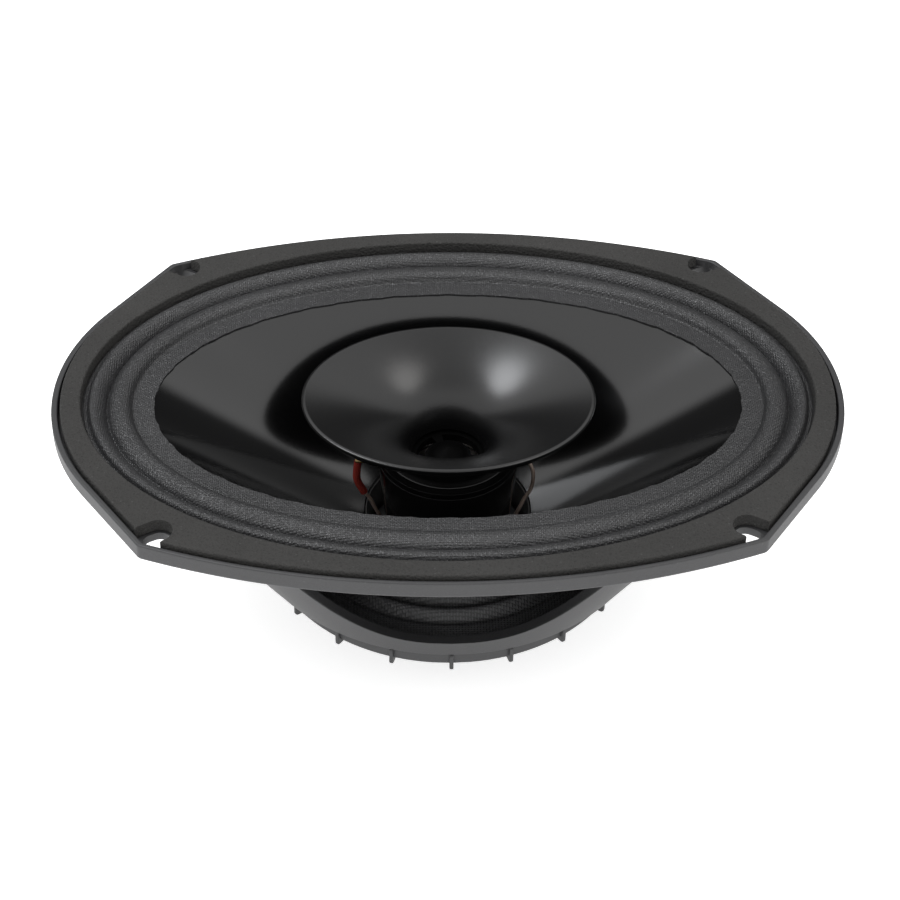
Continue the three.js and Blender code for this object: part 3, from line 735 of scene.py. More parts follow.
@dataclass(frozen=True)
class Woven(Finish):
    """Cloth: a plain weave over X and Y carries the relief."""

    pitch: float = 0.0007
    coating: float = 0.25

    def relief(self, tree: Tree) -> tuple:
        """Give the weave's height under its coating's grain, and the crowns of both as the mask, whose
        lighter tone is painted sheen.
        """
        weave = placed(tree, Effect.WEAVE, Pitch=self.pitch)
        grain = placed(tree, Effect.GRAIN, Scale=self.grain_scale, Cells=self.grain_cells)
        threads = tree.sum("MULTIPLY", weave.outputs["Height"], 1.0 - self.coating)
        height = tree.sum("MULTIPLY_ADD", grain.outputs["Height"], self.coating, threads)
        return height, height


@dataclass(frozen=True)
class Braided(Finish):
    """Lead wire: a braid that follows the wire carries the relief."""

    pitch: float = 0.0006

    def relief(self, tree: Tree) -> tuple:
        """Give the braid's height twice, as the relief and as the mask."""
        braid = placed(tree, Effect.BRAID, Pitch=self.pitch)
        return braid.outputs["Height"], braid.outputs["Height"]


def start_material(name: str) -> tuple:
    """Start a node material.

    Args:
        name: The material's name.

    Returns:
        The material, its tree helper and its Principled shader.
    """
    made = bpy.data.materials.new(name)
    made.use_nodes = True
    shader = made.node_tree.nodes["Principled BSDF"]
    return made, Tree(made.node_tree), shader


def placed(tree: Tree, effect: Effect, **values: float) -> bpy.types.Node:
    """Put a shared effect in a material with its own values.

    Args:
        tree: The material's tree.
        effect: The effect.
        values: Its inputs by name.

    Returns:
        The group node.
    """
    made = tree.tree.nodes.new("ShaderNodeGroup")
    made.node_tree = EFFECTS.group(effect)
    for name, value in values.items():
        made.inputs[name].default_value = value
    return made


class Finishes:
    """Every finish of the speaker, each built when it is first asked for."""

    recipes: tuple[Finish, ...] = (
        Finish("moulded_basket", (0.014, 0.014, 0.015), (0.038, 0.038, 0.0395), 0.5, grain_scale=2200.0,
               grain_depth=0.03, speck_share=0.05, speck_strength=0.14),
        Finish("foam_gasket", (0.008, 0.0078, 0.0074), (0.050, 0.0487, 0.0468), 0.85, grain_scale=1200.0,
               grain_cells=1.2, grain_depth=0.26, specular=0.3, speck_share=0.1, speck_strength=0.15),
        # The surround's bright specks are painted glints, and the lighter tone on its thread crowns is
        # painted sheen.
        Woven("coated_cloth", (0.0015, 0.0015, 0.0016), (0.044, 0.044, 0.046), 0.36, grain_scale=2000.0,
              grain_cells=1.0, grain_depth=0.24, specular=0.5, speck_scale=1500.0, speck_share=0.2,
              speck_strength=0.7, pitch=0.0006, coating=0.55),
        Finish("lacquered_cone", (0.0012, 0.0012, 0.0013), (0.0022, 0.0022, 0.0024), 0.12, 0.02,
               grain_scale=1500.0, grain_cells=0.2, grain_depth=0.004, specular=0.62, speck_share=0.01,
               speck_strength=0.04),
        # The spider's light tone on its thread crowns is painted sheen.
        Woven("spider_cloth", (0.003, 0.003, 0.0033), (0.12, 0.12, 0.124), 0.42, grain_scale=3000.0,
              grain_depth=0.16, speck_share=0.1, speck_strength=0.2, pitch=0.0009),
        Finish("satin_horn", (0.0015, 0.0015, 0.0016), (0.003, 0.003, 0.0032), 0.27, 0.02, grain_scale=1500.0,
               grain_cells=0.1, grain_depth=0.022, specular=0.5, speck_share=0.02, speck_strength=0.05),
        Finish("matt_plug", (0.0008, 0.0008, 0.0008), (0.0014, 0.0014, 0.0014), 0.55, grain_depth=0.004,
               specular=0.02, speck_strength=0.02),
        Finish("gloss_housing", (0.003, 0.003, 0.0032), (0.006, 0.006, 0.0062), 0.16, 0.02, grain_scale=900.0,
               grain_depth=0.001, speck_share=0.01, speck_strength=0.05),
        Finish("black_steel", (0.012, 0.012, 0.013), (0.03, 0.03, 0.032), 0.38, grain_scale=1800.0,
               grain_depth=0.006, coat=0.25, coat_roughness=0.2, speck_strength=0.15),
        Finish("nickel_magnet", (0.48, 0.48, 0.47), (0.6, 0.59, 0.57), 0.22, metallic=1.0, grain_scale=1600.0,
               grain_depth=0.002, speck_strength=0.1),
        Finish("bare_aluminium", (0.52, 0.52, 0.53), (0.64, 0.64, 0.65), 0.3, metallic=1.0,
               grain_scale=2200.0, grain_depth=0.003),
        Finish("titanium_foil", (0.36, 0.35, 0.33), (0.46, 0.45, 0.43), 0.3, metallic=1.0, grain_depth=0.002),
        Finish("coil_foil", (0.012, 0.011, 0.010), (0.024, 0.022, 0.020), 0.4, metallic=0.3,
               grain_depth=0.003),
        Finish("copper_wire", (0.46, 0.19, 0.09), (0.6, 0.28, 0.14), 0.3, metallic=1.0, coat=0.5,
               grain_depth=0.003),
        Finish("black_zinc", (0.03, 0.03, 0.032), (0.07, 0.07, 0.075), 0.33, metallic=0.9, grain_depth=0.002),
        Finish("brass_tab", (0.55, 0.4, 0.17), (0.68, 0.52, 0.25), 0.28, metallic=1.0, grain_scale=2600.0,
               grain_depth=0.003),
        Braided("tinned_braid", (0.2, 0.12, 0.09), (0.78, 0.68, 0.6), 0.34, metallic=0.85, grain_depth=0.12,
                drift_spread=1.0, pitch=0.00055),
        Finish("red_sleeve", (0.16, 0.014, 0.010), (0.28, 0.034, 0.024), 0.38, grain_scale=1200.0,
               grain_depth=0.01, specular=0.5),
        Finish("black_sleeve", (0.012, 0.010, 0.009), (0.03, 0.024, 0.022), 0.42, grain_scale=1200.0,
               grain_depth=0.01),
        Finish("laminate_board", (0.12, 0.062, 0.028), (0.21, 0.115, 0.055), 0.5, grain_scale=1400.0,
               grain_cells=1.0, grain_depth=0.01, drift_scale=140.0, drift_spread=1.0),
        Finish("blue_sleeve", (0.012, 0.028, 0.11), (0.02, 0.045, 0.17), 0.3, grain_scale=900.0,
               grain_depth=0.004),
    )

    def __init__(self) -> None:
        """Start with no material built."""
        self.built: dict[str, bpy.types.Material] = {}

    def __getitem__(self, name: str) -> bpy.types.Material:
        """Give the material of a finish by its name."""
        if name not in self.built:
            recipe = next(r for r in self.recipes if r.name == name)
            self.built[name] = recipe.material()
        return self.built[name]


FINISHES = Finishes()


class Body(Enum):
    """The rigid bodies of the frame."""

    FRAME = "frame"
    CONE = "cone_assembly"
    DOME = "treble_diaphragm"


def settle(obj: bpy.types.Object, body: Body, slot: str, *nodes: str) -> bpy.types.Object:
    """Put a finished piece on its body, in place of its CAD nodes.

    Args:
        obj: The piece.
        body: The body it rides on.
        slot: The record's material slot; not used.
        nodes: The CAD nodes it stands for.

    Returns:
        The piece.
    """
    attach(obj, body.value)
    if nodes:
        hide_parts(*nodes)
    LOG.info("%s: %d faces", obj.name, len(obj.data.polygons))
    return obj


@dataclass(frozen=True)
class Turning:
    """A turned piece that stands for one CAD node."""

    node: str
    slot: str
    finish: str
    section: tuple[Corner, ...]
    body: Body = Body.FRAME
    segments: int = 96

    def make(self) -> bpy.types.Object:
        """Build the piece and put it on its body.

        Returns:
            The piece.
        """
        obj = build(f"{self.node}_piece", turned(self.section, self.segments), self.finish)
        return settle(obj, self.body, self.slot, self.node)


def placing(x: float = 0.0, y: float = 0.0, z: float = 0.0, turn: float = 0.0, axis: str = "Z") -> Matrix:
    """Give the matrix that turns by an angle in degrees about an axis and then moves."""
    return Matrix.Translation((x, y, z)) @ Matrix.Rotation(math.radians(turn), 4, axis)


def socket_screw(radius: float, height: float, shank: float, length: float, socket: float) -> Shell:
    """A screw whose head has a hexagonal socket, pointing along +Z with the underside of its head at 0.

    The socket's wall lies at socket / cos(a - 30 degrees) for the angle a within each sixth of a turn.

    Args:
        radius: The head's radius.
        height: The head's height.
        shank: The shank's radius.
        length: The shank's length, below 0.
        socket: From the axis to each flat of the socket.

    Returns:
        The screw.
    """
    angle = ring_angles(72)
    sixth = math.pi / 3
    hexagon = socket / np.cos(angle % sixth - sixth / 2)
    circle = 0 * angle

    def level(r: Array | float, z: float) -> Array:
        """One row of the screw."""
        return oval(angle, circle + r, circle + r, z)

    floor = height * 0.45
    rows = rounded(
        [
            (level(0.0, floor - 0.3), 0.0), (level(hexagon, floor), 0.08), (level(hexagon, height), 0.12),
            (level(radius * 0.86, height), 0.1), (level(radius, height * 0.8), 0.25),
            (level(radius, 0.0), 0.15),
            (level(shank, 0.0), 0.1), (level(shank, -length + 0.4), 0.15), (level(shank * 0.8, -length), 0.1),
            (level(0.0, -length), 0.0),
        ],
        False,
        3,
    )
    return grid_shell(rows, False, True)


MOTOR_SCREW_ANGLES = (45, 135, 225, 315)
MOTOR_SCREW_CIRCLE = 37.0
BOARD_SCREWS = (-12.0, 12.0)
BOARD_SCREW_Z = -53.0


def motor_screw_places() -> list[tuple[float, float]]:
    """Give the places of the motor's four screws."""
    spots = [math.radians(a) for a in MOTOR_SCREW_ANGLES]
    return [(MOTOR_SCREW_CIRCLE * math.cos(a), MOTOR_SCREW_CIRCLE * math.sin(a)) for a in spots]


# ------------------------------------------------------------------ basket and gasket


@dataclass
class FlangeShape:
    """The flange's eight-sided outline: long shallow arcs, round short ends, four pointed corners."""

    half_length: float = 118.0
    half_width: float = 82.3
    corner_x: float = 87.4
    corner_y: float = 65.8
    end_radius: float = 70.0
    corner_ease: float = 0.8
    slot_x: float = 78.8
    slot_y: float = 59.6
    slot_angle: float = 30.0

    def outline(self, half_length: float, half_width: float) -> Array:
        """Give the outline scaled to a size.

        A quarter runs round the end's arc, straight along its tangent to the corner, through the corner's
        parabola, and along the long side's arc to the middle.

        Args:
            half_length: Half the size along X.
            half_width: Half the size along Y.

        Returns:
            Points anticlockwise from +X, shaped (n, 2).
        """
        rise = self.half_width - self.corner_y
        long_radius = (self.corner_x**2 + rise**2) / (2 * rise)
        end_x = self.half_length - self.end_radius
        reach = math.hypot(self.corner_x - end_x, self.corner_y)
        touch = math.atan2(self.corner_y, self.corner_x - end_x) - math.acos(self.end_radius / reach)
        corner = np.array([self.corner_x, self.corner_y])
        angle = np.linspace(0, touch, 16)
        end = np.stack([end_x + self.end_radius * np.cos(angle), self.end_radius * np.sin(angle)], axis=1)
        line = end[-1] + (corner - end[-1]) * np.linspace(0.2, 0.85, 4)[:, None]
        half = math.asin(self.corner_x / long_radius)
        turn = np.linspace(half * 0.96, 0, 28)
        side = np.stack(
            [long_radius * np.sin(turn), self.half_width - long_radius + long_radius * np.cos(turn)], axis=1
        )
        start = corner + (end[-1] - corner) / np.linalg.norm(end[-1] - corner) * self.corner_ease
        stop = corner + (side[0] - corner) / np.linalg.norm(side[0] - corner) * self.corner_ease
        s = np.linspace(0, 1, 6)[:, None]
        bend = (1 - s) ** 2 * start + 2 * s * (1 - s) * corner + s**2 * stop
        quarter = np.concatenate([end, line, bend, side])
        quarter = quarter * [half_length / self.half_length, half_width / self.half_width]
        mirrored = (quarter, quarter[::-1] * [-1, 1], quarter * [-1, -1], quarter[::-1] * [1, -1])
        return np.concatenate([run[:-1] for run in mirrored])

    def angles(self) -> Array:
        """Give the oval angle of each outline point."""
        points = self.outline(self.half_length, self.half_width)
        return np.arctan2(points[:, 1] / self.half_width, points[:, 0] / self.half_length)

    def rim(self, inset_x: float, inset_y: float, z: float) -> Array:
        """Give the outline, drawn in, at a height."""
        points = self.outline(self.half_length - inset_x, self.half_width - inset_y)
        return np.column_stack([points, np.full(len(points), z)])

    def corner_slots(self, start: float, length: float, width: float, low: float, high: float) -> Shell:
        """A long hole with round ends at each corner, lying along the corner's axis.

        Args:
            start: How far the inner end lies inside the slot's own end.
            length: The hole's length.
            width: Its width.
            low: Its lower height.
            high: Its upper height.

        Returns:
            The four solids that cut the holes.
        """
        r = width / 2
        bow = np.linspace(math.pi / 2, 3 * math.pi / 2, 17)
        arc = np.stack([r + r * np.cos(bow), r * np.sin(bow)], axis=1)
        loop = np.concatenate([arc, [length, 0] - arc])
        loop[:, 0] -= start
        turn = math.radians(self.slot_angle)
        loop = loop @ np.array([[math.cos(turn), math.sin(turn)], [-math.sin(turn), math.cos(turn)]])
        loop += [self.slot_x, self.slot_y]
        signs = ((1, 1), (-1, 1), (-1, -1), (1, -1))
        return joined([slab(loop * sign, low, high, 0.0).outward() for sign in signs])


@dataclass
class Basket:
    """The one-piece moulded basket: flange, windowed wall, ribbed ring, shelf and terminal boss."""

    shape: FlangeShape
    rear: float = -5.2
    plate_top: float = -2.7
    lip_inset_x: float = 1.9
    lip_inset_y: float = 1.3
    top_x: float = 103.0
    top_y: float = 70.0
    ring_radius: float = 57.0
    rim_x: float = 109.2
    rim_y: float = 73.8
    flare_end: float = -11.0
    thickness: float = 2.7
    edge_bead: float = 0.8
    band_top: float = -52.4
    bottom: float = -57.4
    hole_radius: float = 28.5
    floor_top: float = -55.2
    shelf_inner: float = 49.0
    shelf_top: float = -50.1
    window_half: float = 34.5
    window_depth: float = 0.785
    fin_count: int = 20
    fin_inner: float = 41.5
    fin_outer: float = 58.1
    fin_width: float = 1.2
    fin_tip: float = -59.2
    fin_top: float = -53.2
    slot_width: float = 7.0
    slot_length: float = 8.6
    skirt_low: float = -8.0
    skirt_overlap: float = 1.2
    boss_half: float = 15.0
    boss_inner: float = 54.0
    boss_outer: float = 59.9
    boss_top: float = -47.5

    def wall_axes(self, z: Array, inward: Array | float = 0.0) -> tuple[Array, Array]:
        """Half-axes of the wall at a height.

        They run in a straight line from the top oval to the ring's circle, and above the flare's end a
        square of the height is added that reaches the rim's oval at the flange.

        Args:
            z: The heights.
            inward: How far inside the outer face.

        Returns:
            The half-axes along X and Y.
        """
        t = (self.rear - z) / (self.rear - self.bottom)
        flare = np.clip((z - self.flare_end) / (self.rear - self.flare_end), 0, 1) ** 2
        rx = self.top_x + (self.ring_radius - self.top_x) * t + (self.rim_x - self.top_x) * flare
        ry = self.top_y + (self.ring_radius - self.top_y) * t + (self.rim_y - self.top_y) * flare
        return rx - inward, ry - inward

    def window_edge(self) -> tuple[Array, Array]:
        """Angles round the wall, and the wall's upper edge at each.

        Inside a window the edge is a curve of power three: the cube of the angle's share and the cube of
        the depth's share add up to one. Elsewhere the edge lies inside the flange.

        Returns:
            The angles and the heights.
        """
        u = np.linspace(-math.pi / 2, math.pi / 2, 49)
        half = math.radians(self.window_half)
        offset = half * np.sign(np.sin(u)) * np.abs(np.sin(u)) ** (2 / 3)
        depth = self.window_depth * np.abs(np.cos(u)) ** (2 / 3)
        window = self.rear - (self.rear - self.bottom) * depth
        between = np.linspace(-math.pi / 2 + half, math.pi / 2 - half, 42)[1:-1]
        hidden = np.full(len(between), self.rear + self.skirt_overlap)
        angle = np.concatenate([between, math.pi / 2 + offset, math.pi + between, 3 * math.pi / 2 + offset])
        return angle, np.concatenate([hidden, window, hidden, window])

    def shell(self) -> Shell:
        """The wall with its windows, the ring, the floor and the spider's shelf, as one closed section."""
        angle, edge = self.window_edge()
        flat = 0 * angle

        def disc(radius: float, z: float) -> Array:
            """A round row."""
            return oval(angle, radius, radius, flat + z)

        def wall(z: Array, inward: float) -> Array:
            """A row on the wall's outer or inner face, with the bead along its upper edge."""
            bead = self.edge_bead * np.exp(-(edge - z) / 5.0) if inward else 0.0
            rx, ry = self.wall_axes(z, inward + bead)
            return oval(angle, rx, ry, z)

        share = np.linspace(0, 1, 12)[1:-1]
        outer = [(wall(self.band_top + (edge - self.band_top) * s, 0.0), 0.0) for s in share]
        inner = [(wall(edge + (self.shelf_top - edge) * s, self.thickness), 0.0) for s in share]
        corners = [
            (disc(self.hole_radius, self.floor_top), 0.4), (disc(self.hole_radius, self.bottom), 0.4),
            (disc(self.ring_radius, self.bottom), 0.7), (disc(self.ring_radius, self.band_top), 0.3),
            (wall(flat + self.band_top, 0.0), 0.6), *outer, (wall(edge, 0.0), 0.7),
            (wall(edge, self.thickness), 0.7), *inner, (wall(flat + self.shelf_top, self.thickness), 0.5),
            (disc(self.shelf_inner, self.shelf_top), 0.5), (disc(self.shelf_inner, self.floor_top), 0.5),
        ]
        return grid_shell(rounded(corners, True), True, True)

    def flange(self) -> Shell:
        """The flange plate with its raised lip, round an oval hole."""
        angle = self.shape.angles()
        hole = (self.rim_x - self.thickness, self.rim_y - self.thickness)
        corners = [
            (oval(angle, *hole, self.plate_top), 0.3), (oval(angle, *hole, self.rear), 0.3),
            (self.shape.rim(0, 0, self.rear), 0.7), (self.shape.rim(0, 0, 0.0), 0.55),
            (self.shape.rim(self.lip_inset_x, self.lip_inset_y, 0.0), 0.45),
            (self.shape.rim(self.lip_inset_x, self.lip_inset_y, self.plate_top), 0.4),
        ]
        return grid_shell(rounded(corners, True), True, True)

    def skirt(self) -> Shell:
        """The short sloping skirt that joins the flange and the windows' upper edges."""
        angle = ring_angles(160)
        top, low = np.array(self.rear + self.skirt_overlap), np.array(self.skirt_low)
        levels = ((top, 0.0), (low, 0.0), (low, self.thickness), (top, self.thickness))
        corners = [(oval(angle, *self.wall_axes(z, inward), z), 0.6) for z, inward in levels]
        return grid_shell(rounded(corners, True), True, True)

    def fins(self) -> Shell:
        """The cooling ribs: flat outlines stood on edge round the ring."""
        outline = eased(
            [
                (self.fin_inner, self.bottom + 0.6, 0.0), (self.fin_inner, self.fin_tip, 0.8),
                (self.fin_outer, self.fin_tip, 0.9), (self.fin_outer, self.fin_top, 1.0),
                (self.ring_radius - 1.2, self.fin_top + 0.5, 0.0),
            ],
            True,
        )
        flat = slab(outline, -self.fin_width / 2, self.fin_width / 2, 0.35)
        upright = Matrix(((1, 0, 0, 0), (0, 0, 1, 0), (0, 1, 0, 0), (0, 0, 0, 1)))
        step = 360 / self.fin_count
        return joined([flat.moved(placing(turn=90 + step * i) @ upright) for i in range(self.fin_count)])

    def boss(self) -> Shell:
        """The block on the back that carries the terminal board."""
        half, inner, outer = self.boss_half, self.boss_inner, self.boss_outer
        corners = [(-half, inner, 0.8), (half, inner, 0.8), (half, outer, 0.8), (-half, outer, 0.8)]
        return slab(eased(corners, True), self.bottom + 0.2, self.boss_top, 0.5)

    def holes(self) -> Shell:
        """The four slots, the motor's screw holes and the board's."""
        slots = self.shape.corner_slots(0.0, self.slot_length, self.slot_width, self.rear - 1, 1.0)
        bore = drill(1.9, -59.5, -54)
        motor = [bore.moved(placing(x, y)) for x, y in motor_screw_places()]
        small = drill(1.4, -5, 3, 20)
        sides = [small.moved(placing(x, 59.5, BOARD_SCREW_Z, 90, "X")) for x in BOARD_SCREWS]
        return joined([slots, *motor, *sides])

    def make(self) -> None:
        """Build the basket."""
        obj = build("basket_moulding", self.shell(), "moulded_basket")
        carve(
            obj,
            [
                (Join.ADD, self.flange()), (Join.ADD, self.skirt()), (Join.ADD, self.boss()),
                (Join.ADD, self.fins()), (Join.CUT, self.holes()),
            ],
        )
        settle(obj, Body.FRAME, "moulded", "basket")


@dataclass
class FrontGasket:
    """The die-cut foam ring on the flange, notched round the four mounting slots."""

    shape: FlangeShape
    outer_x: float = 115.3
    outer_y: float = 80.3
    inner_x: float = 109.3
    inner_y: float = 74.4
    low: float = -2.4
    top: float = 1.5
    notch_width: float = 8.6

    def make(self) -> None:
        """Build the gasket."""
        angle = self.shape.angles()
        inset_x = self.shape.half_length - self.outer_x
        inset_y = self.shape.half_width - self.outer_y
        corners = [
            (self.shape.rim(inset_x, inset_y, self.low), 0.2),
            (self.shape.rim(inset_x, inset_y, self.top), 0.7),
            (oval(angle, self.inner_x, self.inner_y, self.top), 0.7),
            (oval(angle, self.inner_x, self.inner_y, self.low), 0.2),
        ]
        obj = build("front_gasket_foam", grid_shell(rounded(corners, True), True, True), "foam_gasket")
        notches = self.shape.corner_slots(0.6, 25.0, self.notch_width, self.low - 1, self.top + 2)
        carve(obj, [(Join.CUT, notches)])
        settle(obj, Body.FRAME, "foam", "front_gasket")


# ------------------------------------------------------------------ cone side


@dataclass
class ConeAssembly:
    """The cone, its two-roll surround, the spider and the voice coil."""

    edge_x: float = 88.7
    edge_y: float = 53.3
    edge_z: float = -4.0
    neck_radius: float = 26.0
    neck_top: float = -46.4
    sag_long: float = 2.0
    sag_short: float = 1.0
    paper: float = 0.9
    cloth: float = 0.7
    cloth_inner: float = -0.8
    cloth_flat: float = -3.0
    land_end: float = 5.8
    crest_two: float = 0.0
    groove_at: float = 13.2
    groove: float = -3.6
    crest_one: float = 0.3
    foot_at: float = 18.7
    foot: float = -1.7
    cloth_outer: float = 19.9
    spider_collar: float = 25.9
    spider_outer: float = 54.3
    spider_z: float = -49.4
    spider_swing: float = 1.4
    spider_glue: float = 5.6
    spider_waves: int = 3
    spider_cloth: float = 0.6

    def cone(self) -> Shell:
        """The cone: half-axes run straight from the neck's circle to the edge's oval, and the height
        bows below the straight line by the sag times t (1 - t), where t runs from the neck to the edge
        and the sag goes from the short sides' value to the long ends' with the angle's cosine squared."""
        angle = ring_angles(192)
        sag = self.sag_short + (self.sag_long - self.sag_short) * np.cos(angle) ** 2
        t = np.linspace(0, 1, 48)
        rx = self.neck_radius + (self.edge_x - self.neck_radius) * t
        ry = self.neck_radius + (self.edge_y - self.neck_radius) * t
        z = [self.neck_top + (self.edge_z - self.neck_top) * s - sag * s * (1 - s) for s in t]
        top = [oval(angle, a, b, h) for a, b, h in zip(rx, ry, z)]
        under = [oval(angle, a + 0.4, b + 0.4, h - self.paper) for a, b, h in zip(rx, ry, z)]
        return grid_shell(np.stack(top + under[::-1]), True, True)

    def roll_profile(self) -> tuple[Array, Array]:
        """Offsets out from the cone's edge and the cloth's height at each.

        Each roll is half an ellipse over its own span, standing on the straight line between its feet, and
        the whole line is then smoothed by a short moving mean that rounds the groove and the feet.

        Returns:
            The offsets and the heights.
        """
        offset = np.linspace(self.cloth_inner, self.cloth_outer, 420)

        def roll(start: float, end: float, crest: float) -> Array:
            """The height added by a roll of that span."""
            x = np.clip((offset - (start + end) / 2) / ((end - start) / 2), -1, 1)
            return crest * np.sqrt(1 - x**2)

        knots = [self.cloth_inner, self.land_end, self.groove_at, self.foot_at, self.cloth_outer]
        levels = [self.cloth_flat, self.cloth_flat, self.groove - 0.5, self.foot, self.foot]
        base = np.interp(offset, knots, levels)
        middle_two = (self.cloth_flat + self.groove) / 2
        middle_one = (self.groove + self.foot) / 2
        height = base + roll(self.land_end, self.groove_at, self.crest_two - middle_two)
        height = height + roll(self.groove_at, self.foot_at, self.crest_one - middle_one)
        kernel = np.hanning(23)
        padded = np.pad(height, 11, mode="edge")
        height = np.convolve(padded, kernel / kernel.sum(), mode="valid")
        kept = np.linspace(0, len(offset) - 1, 70).astype(int)
        return offset[kept], height[kept]

    def surround(self) -> bpy.types.Object:
        """The surround: the roll profile swept round the cone's edge."""
        angle = ring_angles(240)
        offset, height = self.roll_profile()
        ragged = 0.12 * np.sin(37 * angle) + 0.10 * np.sin(61 * angle + 1.3) + 0.08 * np.sin(97 * angle + 0.4)
        fade = np.clip((self.cloth_inner + 1.6 - offset) / 1.6, 0, 1)
        top = [
            oval(angle, self.edge_x, self.edge_y, h, o) + ragged[:, None] * f * self._outward(angle)
            for o, h, f in zip(offset, height, fade)
        ]
        under = [row - [0, 0, self.cloth] for row in top[::-1]]
        shell = grid_shell(np.stack(top + under), True, True, (45.0, 500.0))
        obj = build("surround_cloth", shell, "coated_cloth", 60, False)
        share = np.clip((self.foot_at - offset) / (self.foot_at - self.land_end), 0, 1)
        share = share * share * (3 - 2 * share)
        self._follow(obj, np.concatenate([share, share[::-1]]))
        return obj

    def _outward(self, angle: Array) -> Array:
        """Give the unit normals of the cone's edge."""
        normal = np.stack([np.cos(angle) / self.edge_x, np.sin(angle) / self.edge_y, 0 * angle], axis=1)
        return normal / np.linalg.norm(normal, axis=1, keepdims=True)

    def _follow(self, obj: bpy.types.Object, share: Array) -> None:
        """Bake a ring-shaped piece's placement into its points.

        Args:
            obj: The piece, whose points lie row after row.
            share: How far each row would follow the cone; not used.
        """
        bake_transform(obj)

    def spider(self) -> bpy.types.Object:
        """The spider: a sine of the radius between the collar and the glued rim."""
        angle = ring_angles(160)
        start = self.spider_collar + 1.6
        end = self.spider_outer - self.spider_glue
        r = np.concatenate([
            [self.spider_collar, self.spider_collar + 0.35, self.spider_collar + 0.8],
            np.linspace(start, end, 60), [end + 1.0, self.spider_outer - 0.6, self.spider_outer],
        ])
        phase = np.clip((r - start) / (end - start), 0, 1) * 2 * math.pi * self.spider_waves
        z = self.spider_z + self.spider_swing * np.sin(phase)
        z = z + 1.2 * np.clip(1 - (r - self.spider_collar) / 1.1, 0, 1) ** 2
        top = [oval(angle, a, a, h) for a, h in zip(r, z)]
        under = [row - [0, 0, self.spider_cloth] for row in top[::-1]]
        shell = grid_shell(np.stack(top + under), True, True)
        obj = build("spider_cloth", shell, "spider_cloth", 60, False)
        share = np.clip((end - r) / (end - start), 0, 1)
        share = share * share * (3 - 2 * share)
        self._follow(obj, np.concatenate([share, share[::-1]]))
        return obj

    @staticmethod
    def winding_section() -> tuple[Corner, ...]:
        """The winding: a row of round wires, each a half circle on the outside."""
        inner, outer, top, bottom, turns = 25.75, 26.5, -55.2, -65.2, 26
        phase = np.linspace(0, turns * math.pi, turns * 6 + 1)
        bulge = outer - 0.16 + 0.16 * np.abs(np.sin(phase))
        heights = np.linspace(bottom, top, len(phase))
        wires = tuple((float(r), float(z), 0.0) for r, z in zip(bulge, heights))
        return ((inner, top, 0.0), (inner, bottom, 0.0), *wires)

    def make(self) -> None:
        """Build the cone, the surround, the spider, the former and the winding."""
        settle(build("cone_shell", self.cone(), "lacquered_cone"), Body.CONE, "gloss_cone", "cone")
        for obj, slot, node in (
            (self.surround(), "coated_cloth", "surround"), (self.spider(), "spider_cloth", "spider")
        ):
            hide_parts(node)
        former = ((25.3, -47.0, 0.05), (25.6, -47.0, 0.05), (25.6, -66.5, 0.05), (25.3, -66.5, 0.05))
        Turning("voice_coil_former", "foil", "coil_foil", former, Body.CONE, 128).make()
        Turning("voice_coil_winding", "copper", "copper_wire", self.winding_section(), Body.CONE, 128).make()


# ------------------------------------------------------------------ woofer motor


